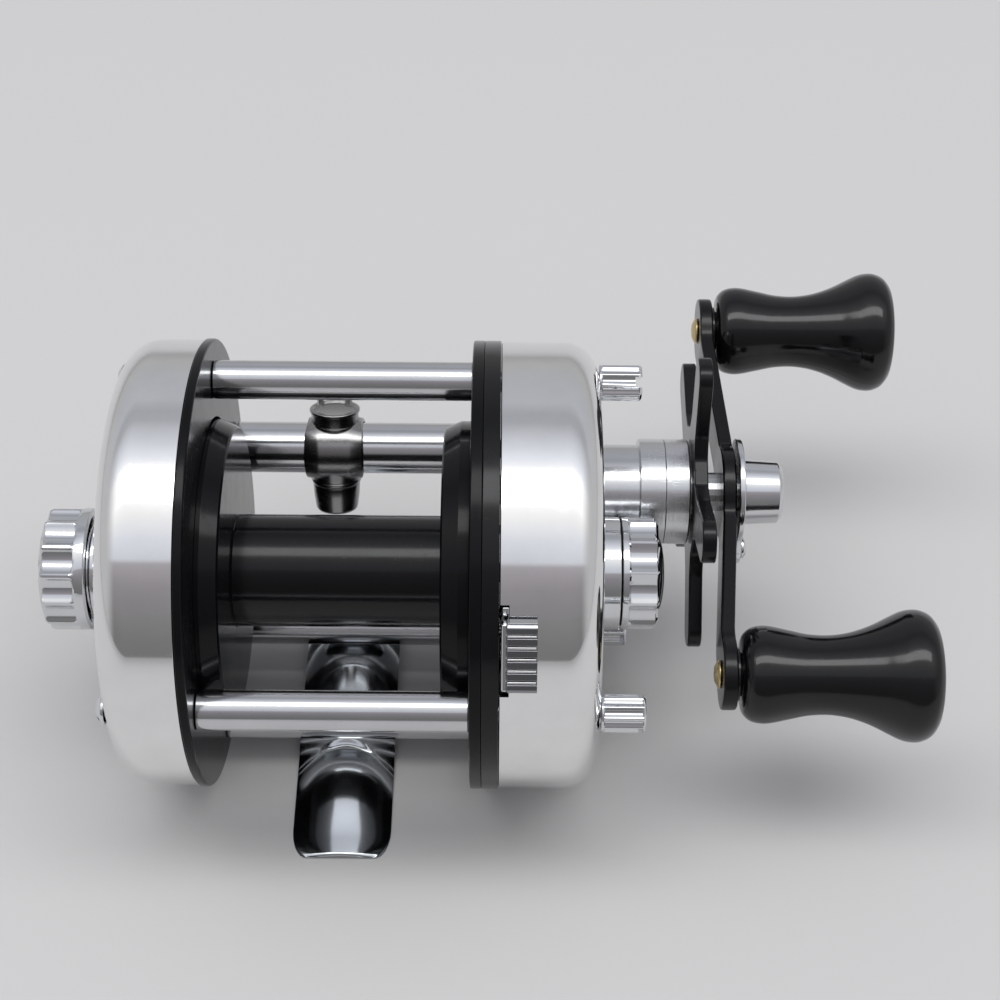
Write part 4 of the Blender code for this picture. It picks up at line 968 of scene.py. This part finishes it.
def build_button():
    low, high = span("thumb_button")
    out_low, out_high = BUTTON_OUT
    half, ribs = BUTTON_HALF, BUTTON_RIBS
    pitch = 2 * half / (ribs + 1)
    outline = [(out_low, -half, 0.1), (out_high - 0.5, -half, 0.4), (out_high, -half + 0.5, 0.4)]
    for rib in range(ribs):
        middle = -half + pitch * (rib + 1)
        outline += [(out_high, middle - 0.34, 0.12), (out_high - 0.5, middle - 0.08, 0.06),
                    (out_high - 0.5, middle + 0.08, 0.06), (out_high, middle + 0.34, 0.12)]
    outline += [(out_high, half - 0.5, 0.4), (out_high - 0.5, half, 0.4), (out_low, half, 0.1)]
    head = in_button_frame(slab(rounded(outline, 0.15, 3, True), (low.x + 0.75, high.x)))
    piece("thumb_button_ribbed", head, "button", "thumb_button", ["thumb_button"],
          bevel=0.3)
    # Strips of bright polished aluminium on the ridge tops: a painted highlight against the darkened button chrome
    for rib in range(ribs):
        middle = -half + pitch * (rib + 1)
        ridge = in_button_frame(block((low.x + 0.82, out_high - 0.7, middle - 0.15),
                                      (high.x - 0.15, out_high - 0.02, middle + 0.15)))
        piece(f"thumb_button_ridge_{rib + 1}", ridge, "plates", "thumb_button", [],
              bevel=0.1)
    side = in_button_frame(block((low.x, out_low, -half + 0.15),
                                 (low.x + 0.8, out_high - 0.45, half - 0.15)))
    piece("thumb_button_side", side, "chrome", "thumb_button", [], bevel=0.25)
    neck = in_button_frame(block((low.x, 30.6, -2.5), (low.x + 1.3, 33.6, 2.5)))
    piece("thumb_button_neck", neck, "steel", "thumb_button", [], bevel=0.15)
    strip = in_button_frame(block((low.x + 0.12, 30.4, -6.2), (low.x + 1.0, 32.5, -2.6)))
    piece("thumb_button_strip", strip, "plates", "thumb_button", [], bevel=0.12)


def build_thumbscrews():
    for name, turn in THUMBSCREW_TURNS:
        node = "thumbscrew_" + name
        low, high = span(node)
        axis = joint_axis(f"thumbscrew_{name}_turn")
        head = span("right_side_plate")[1].x + 0.06
        low_x, high_x = head + 0.35, high.x - 0.3

        def knurl(x, r, angle, low_x=low_x, high_x=high_x):
            if not low_x < x < high_x or r < 2.2:
                return r
            fade = min(1.0, (x - low_x) / 0.2, (high_x - x) / 0.2)
            return r - 0.42 * fade * (0.5 - 0.5 * math.cos(KNURLS * angle)) ** 0.7

        stations = [low_x, low_x + 0.2, high_x - 0.2, high_x]
        slot = block((high.x - 1.0, -4, -0.78), (high.x + 1, 4, 0.78))
        slot.transform(Matrix.Translation((0, *axis)) @ Matrix.Rotation(math.radians(turn), 4, "X"))
        piece(node + "_knurled", turned([
            (low.x, 0), (low.x, 1.5, 0.3), (head, 1.5), (head, 2.6, 0.15)]
            + [(x, THUMBSCREW_RADIUS, 0) for x in stations]
            + [(high.x, 2.4, 0.15), (high.x, 0)], axis, KNURLS * 20, shape=knurl), "chrome", node,
            [node], sharp=40, tools=[slot])


# --- the solids that stay ---

LOOKS = {"brass": "brass", "steel": "steel", "fibre": "fibre", "rubber": "rubber",
         "chrome": "chrome", "black_plastic": "plastic", "black_paint": "paint",
         "black_anodised": "rings", "polished_aluminium": "plates", "machined_aluminium": "hub"}


def finish_solids():
    slots = {s["node"]: s["material_slot"] for s in frame["record"]["subparts"]}
    for name, node in frame["nodes"].items():
        for place in node.material_slots:
            place.material = MATERIALS[LOOKS[slots[name]]]


# --- floor, light and camera ---

FLOOR_HALF_SIDE = 4000
CAMERA_ELEVATION = math.radians(47)
CAMERA_ROLL = math.radians(0.5)
CAMERA_DISTANCE = 0.29
CAMERA_LENS = 69.95
CAMERA_AIM = (-0.000746, 0.00955)  # metres right and up from the middle of the gear side plate
SIDE_FADE = (0.62, 0.97)  # where the room fades to the side walls' grey, from the middle out to X
SIDE_GREY = (0.27, 0.27, 0.275, 1)
WORLD_STRENGTH = 2.0


def build_floor():
    t = Tree(bpy.data.materials.new("studio_floor"))
    place = t.node("TexCoord").outputs["Object"]
    cloud = t.noise(place, 3.0, 4.0)
    t.put(t.shader.inputs["Base Color"], t.node("Mix", {
        "Factor": cloud, "A": (0.575, 0.568, 0.562, 1), "B": (0.60, 0.593, 0.587, 1)},
        data_type="RGBA").outputs["Result"])
    t.put(t.shader.inputs["Roughness"], t.total(0.7, (0.15, t.noise(place, 60.0, 3.0))))
    t.put(t.shader.inputs["Normal"], t.bump(t.noise(place, 900.0, 3.0), 0.05, 0.0005))
    mesh = bmesh.new()
    bmesh.ops.create_grid(mesh, x_segments=8, y_segments=8, size=FLOOR_HALF_SIDE)
    low = CAD_BOX[0][2] * 1000
    bmesh.ops.translate(mesh, vec=(0, 0, low), verts=mesh.verts)
    floor = to_object("studio_floor", mesh, t.owner)


# How bright the room is, by the angle up from the horizon in front, over the top, to behind
TINTS = {"neutral": (1.0, 1.0, 1.0), "cool": (0.95, 0.97, 1.05), "lilac": (1.02, 0.97, 1.03)}
SKY = [(0, 0.40, "neutral"), (8, 0.47, "neutral"), (30, 0.51, "cool"), (42, 0.53, "cool"),
       (50, 0.44, "cool"), (56, 0.46, "cool"), (62, 0.60, "cool"), (71, 0.80, "cool"),
       (78, 1.0, "cool"), (84, 1.2, "neutral"), (101, 1.2, "neutral"), (108, 1.05, "neutral"),
       (120, 0.86, "cool"), (130.5, 0.74, "cool"), (132.5, 0.42, "lilac"), (144, 0.31, "lilac"),
       (152, 0.28, "lilac"), (162, 0.24, "neutral"), (172, 0.21, "neutral"), (180, 0.20, "neutral")]


def build_light(middle):
    world = bpy.data.worlds.new("studio")
    bpy.context.scene.world = world
    t = Tree(world, "Background")
    split = t.node("SeparateXYZ", {"Vector": t.node("TexCoord").outputs["Generated"]}).outputs
    share = t.math("DIVIDE", t.math("ARCTAN2", split["Z"], split["Y"]), math.pi)
    sky = t.ramp(share, [(degrees / 180, [0.5 * level * c for c in TINTS[tint]])
                         for degrees, level, tint in SKY])
    fade = t.node("MapRange", {
        "Value": t.math("ABSOLUTE", split["X"]), "From Min": SIDE_FADE[0],
        "From Max": SIDE_FADE[1]}, interpolation_type="SMOOTHSTEP").outputs["Result"]
    t.put(t.shader.inputs["Color"], t.node("Mix", {
        "Factor": fade, "A": sky, "B": SIDE_GREY}, data_type="RGBA").outputs["Result"])
    t.shader.inputs["Strength"].default_value = WORLD_STRENGTH

    # One soft box, a metre away, almost straight above and a little towards the camera
    data = bpy.data.lights.new("softbox_above", "AREA")
    data.shape = "RECTANGLE"
    data.size, data.size_y = 1.6, 0.30
    data.energy = 5.6
    data.color = (0.98, 0.99, 1.0)
    light = bpy.data.objects.new("softbox_above", data)
    a = math.radians(93)
    away = Vector((0, math.cos(a), math.sin(a))).normalized()
    light.location = middle + away
    light.rotation_euler = away.to_track_quat("Z", "Y").to_euler()
    bpy.context.scene.collection.objects.link(light)
    bpy.context.scene.view_settings.view_transform = "Standard"


def build_camera():
    """Looks down from the angler's side, and returns the point that the light is aimed at."""
    centre = Vector((span("gear_side_plate")[1].x + 0.9, *PLATE)) * MM
    right = Vector((1, 0, 0))
    up = Vector((0, math.sin(CAMERA_ELEVATION), math.cos(CAMERA_ELEVATION)))
    back = Vector((0, -math.cos(CAMERA_ELEVATION), math.sin(CAMERA_ELEVATION)))
    target = centre + right * CAMERA_AIM[0] + up * CAMERA_AIM[1]
    data = bpy.data.cameras.new("camera")
    data.sensor_width = 36
    data.lens = CAMERA_LENS
    data.clip_start = 0.01
    camera = bpy.data.objects.new("camera", data)
    turn = Matrix((right, up, back)).transposed().to_4x4() @ Matrix.Rotation(CAMERA_ROLL, 4, "Z")
    camera.matrix_world = Matrix.Translation(target + back * CAMERA_DISTANCE) @ turn
    bpy.context.scene.collection.objects.link(camera)
    bpy.context.scene.camera = camera
    return centre


middle = build_camera()
build_plates()
build_pillars()
build_level_wind()
build_foot()
build_caps()
build_spool()
build_arm()
build_star()
build_nut()
build_knobs()
build_button()
build_thumbscrews()
finish_solids()
build_floor()
build_light(middle)
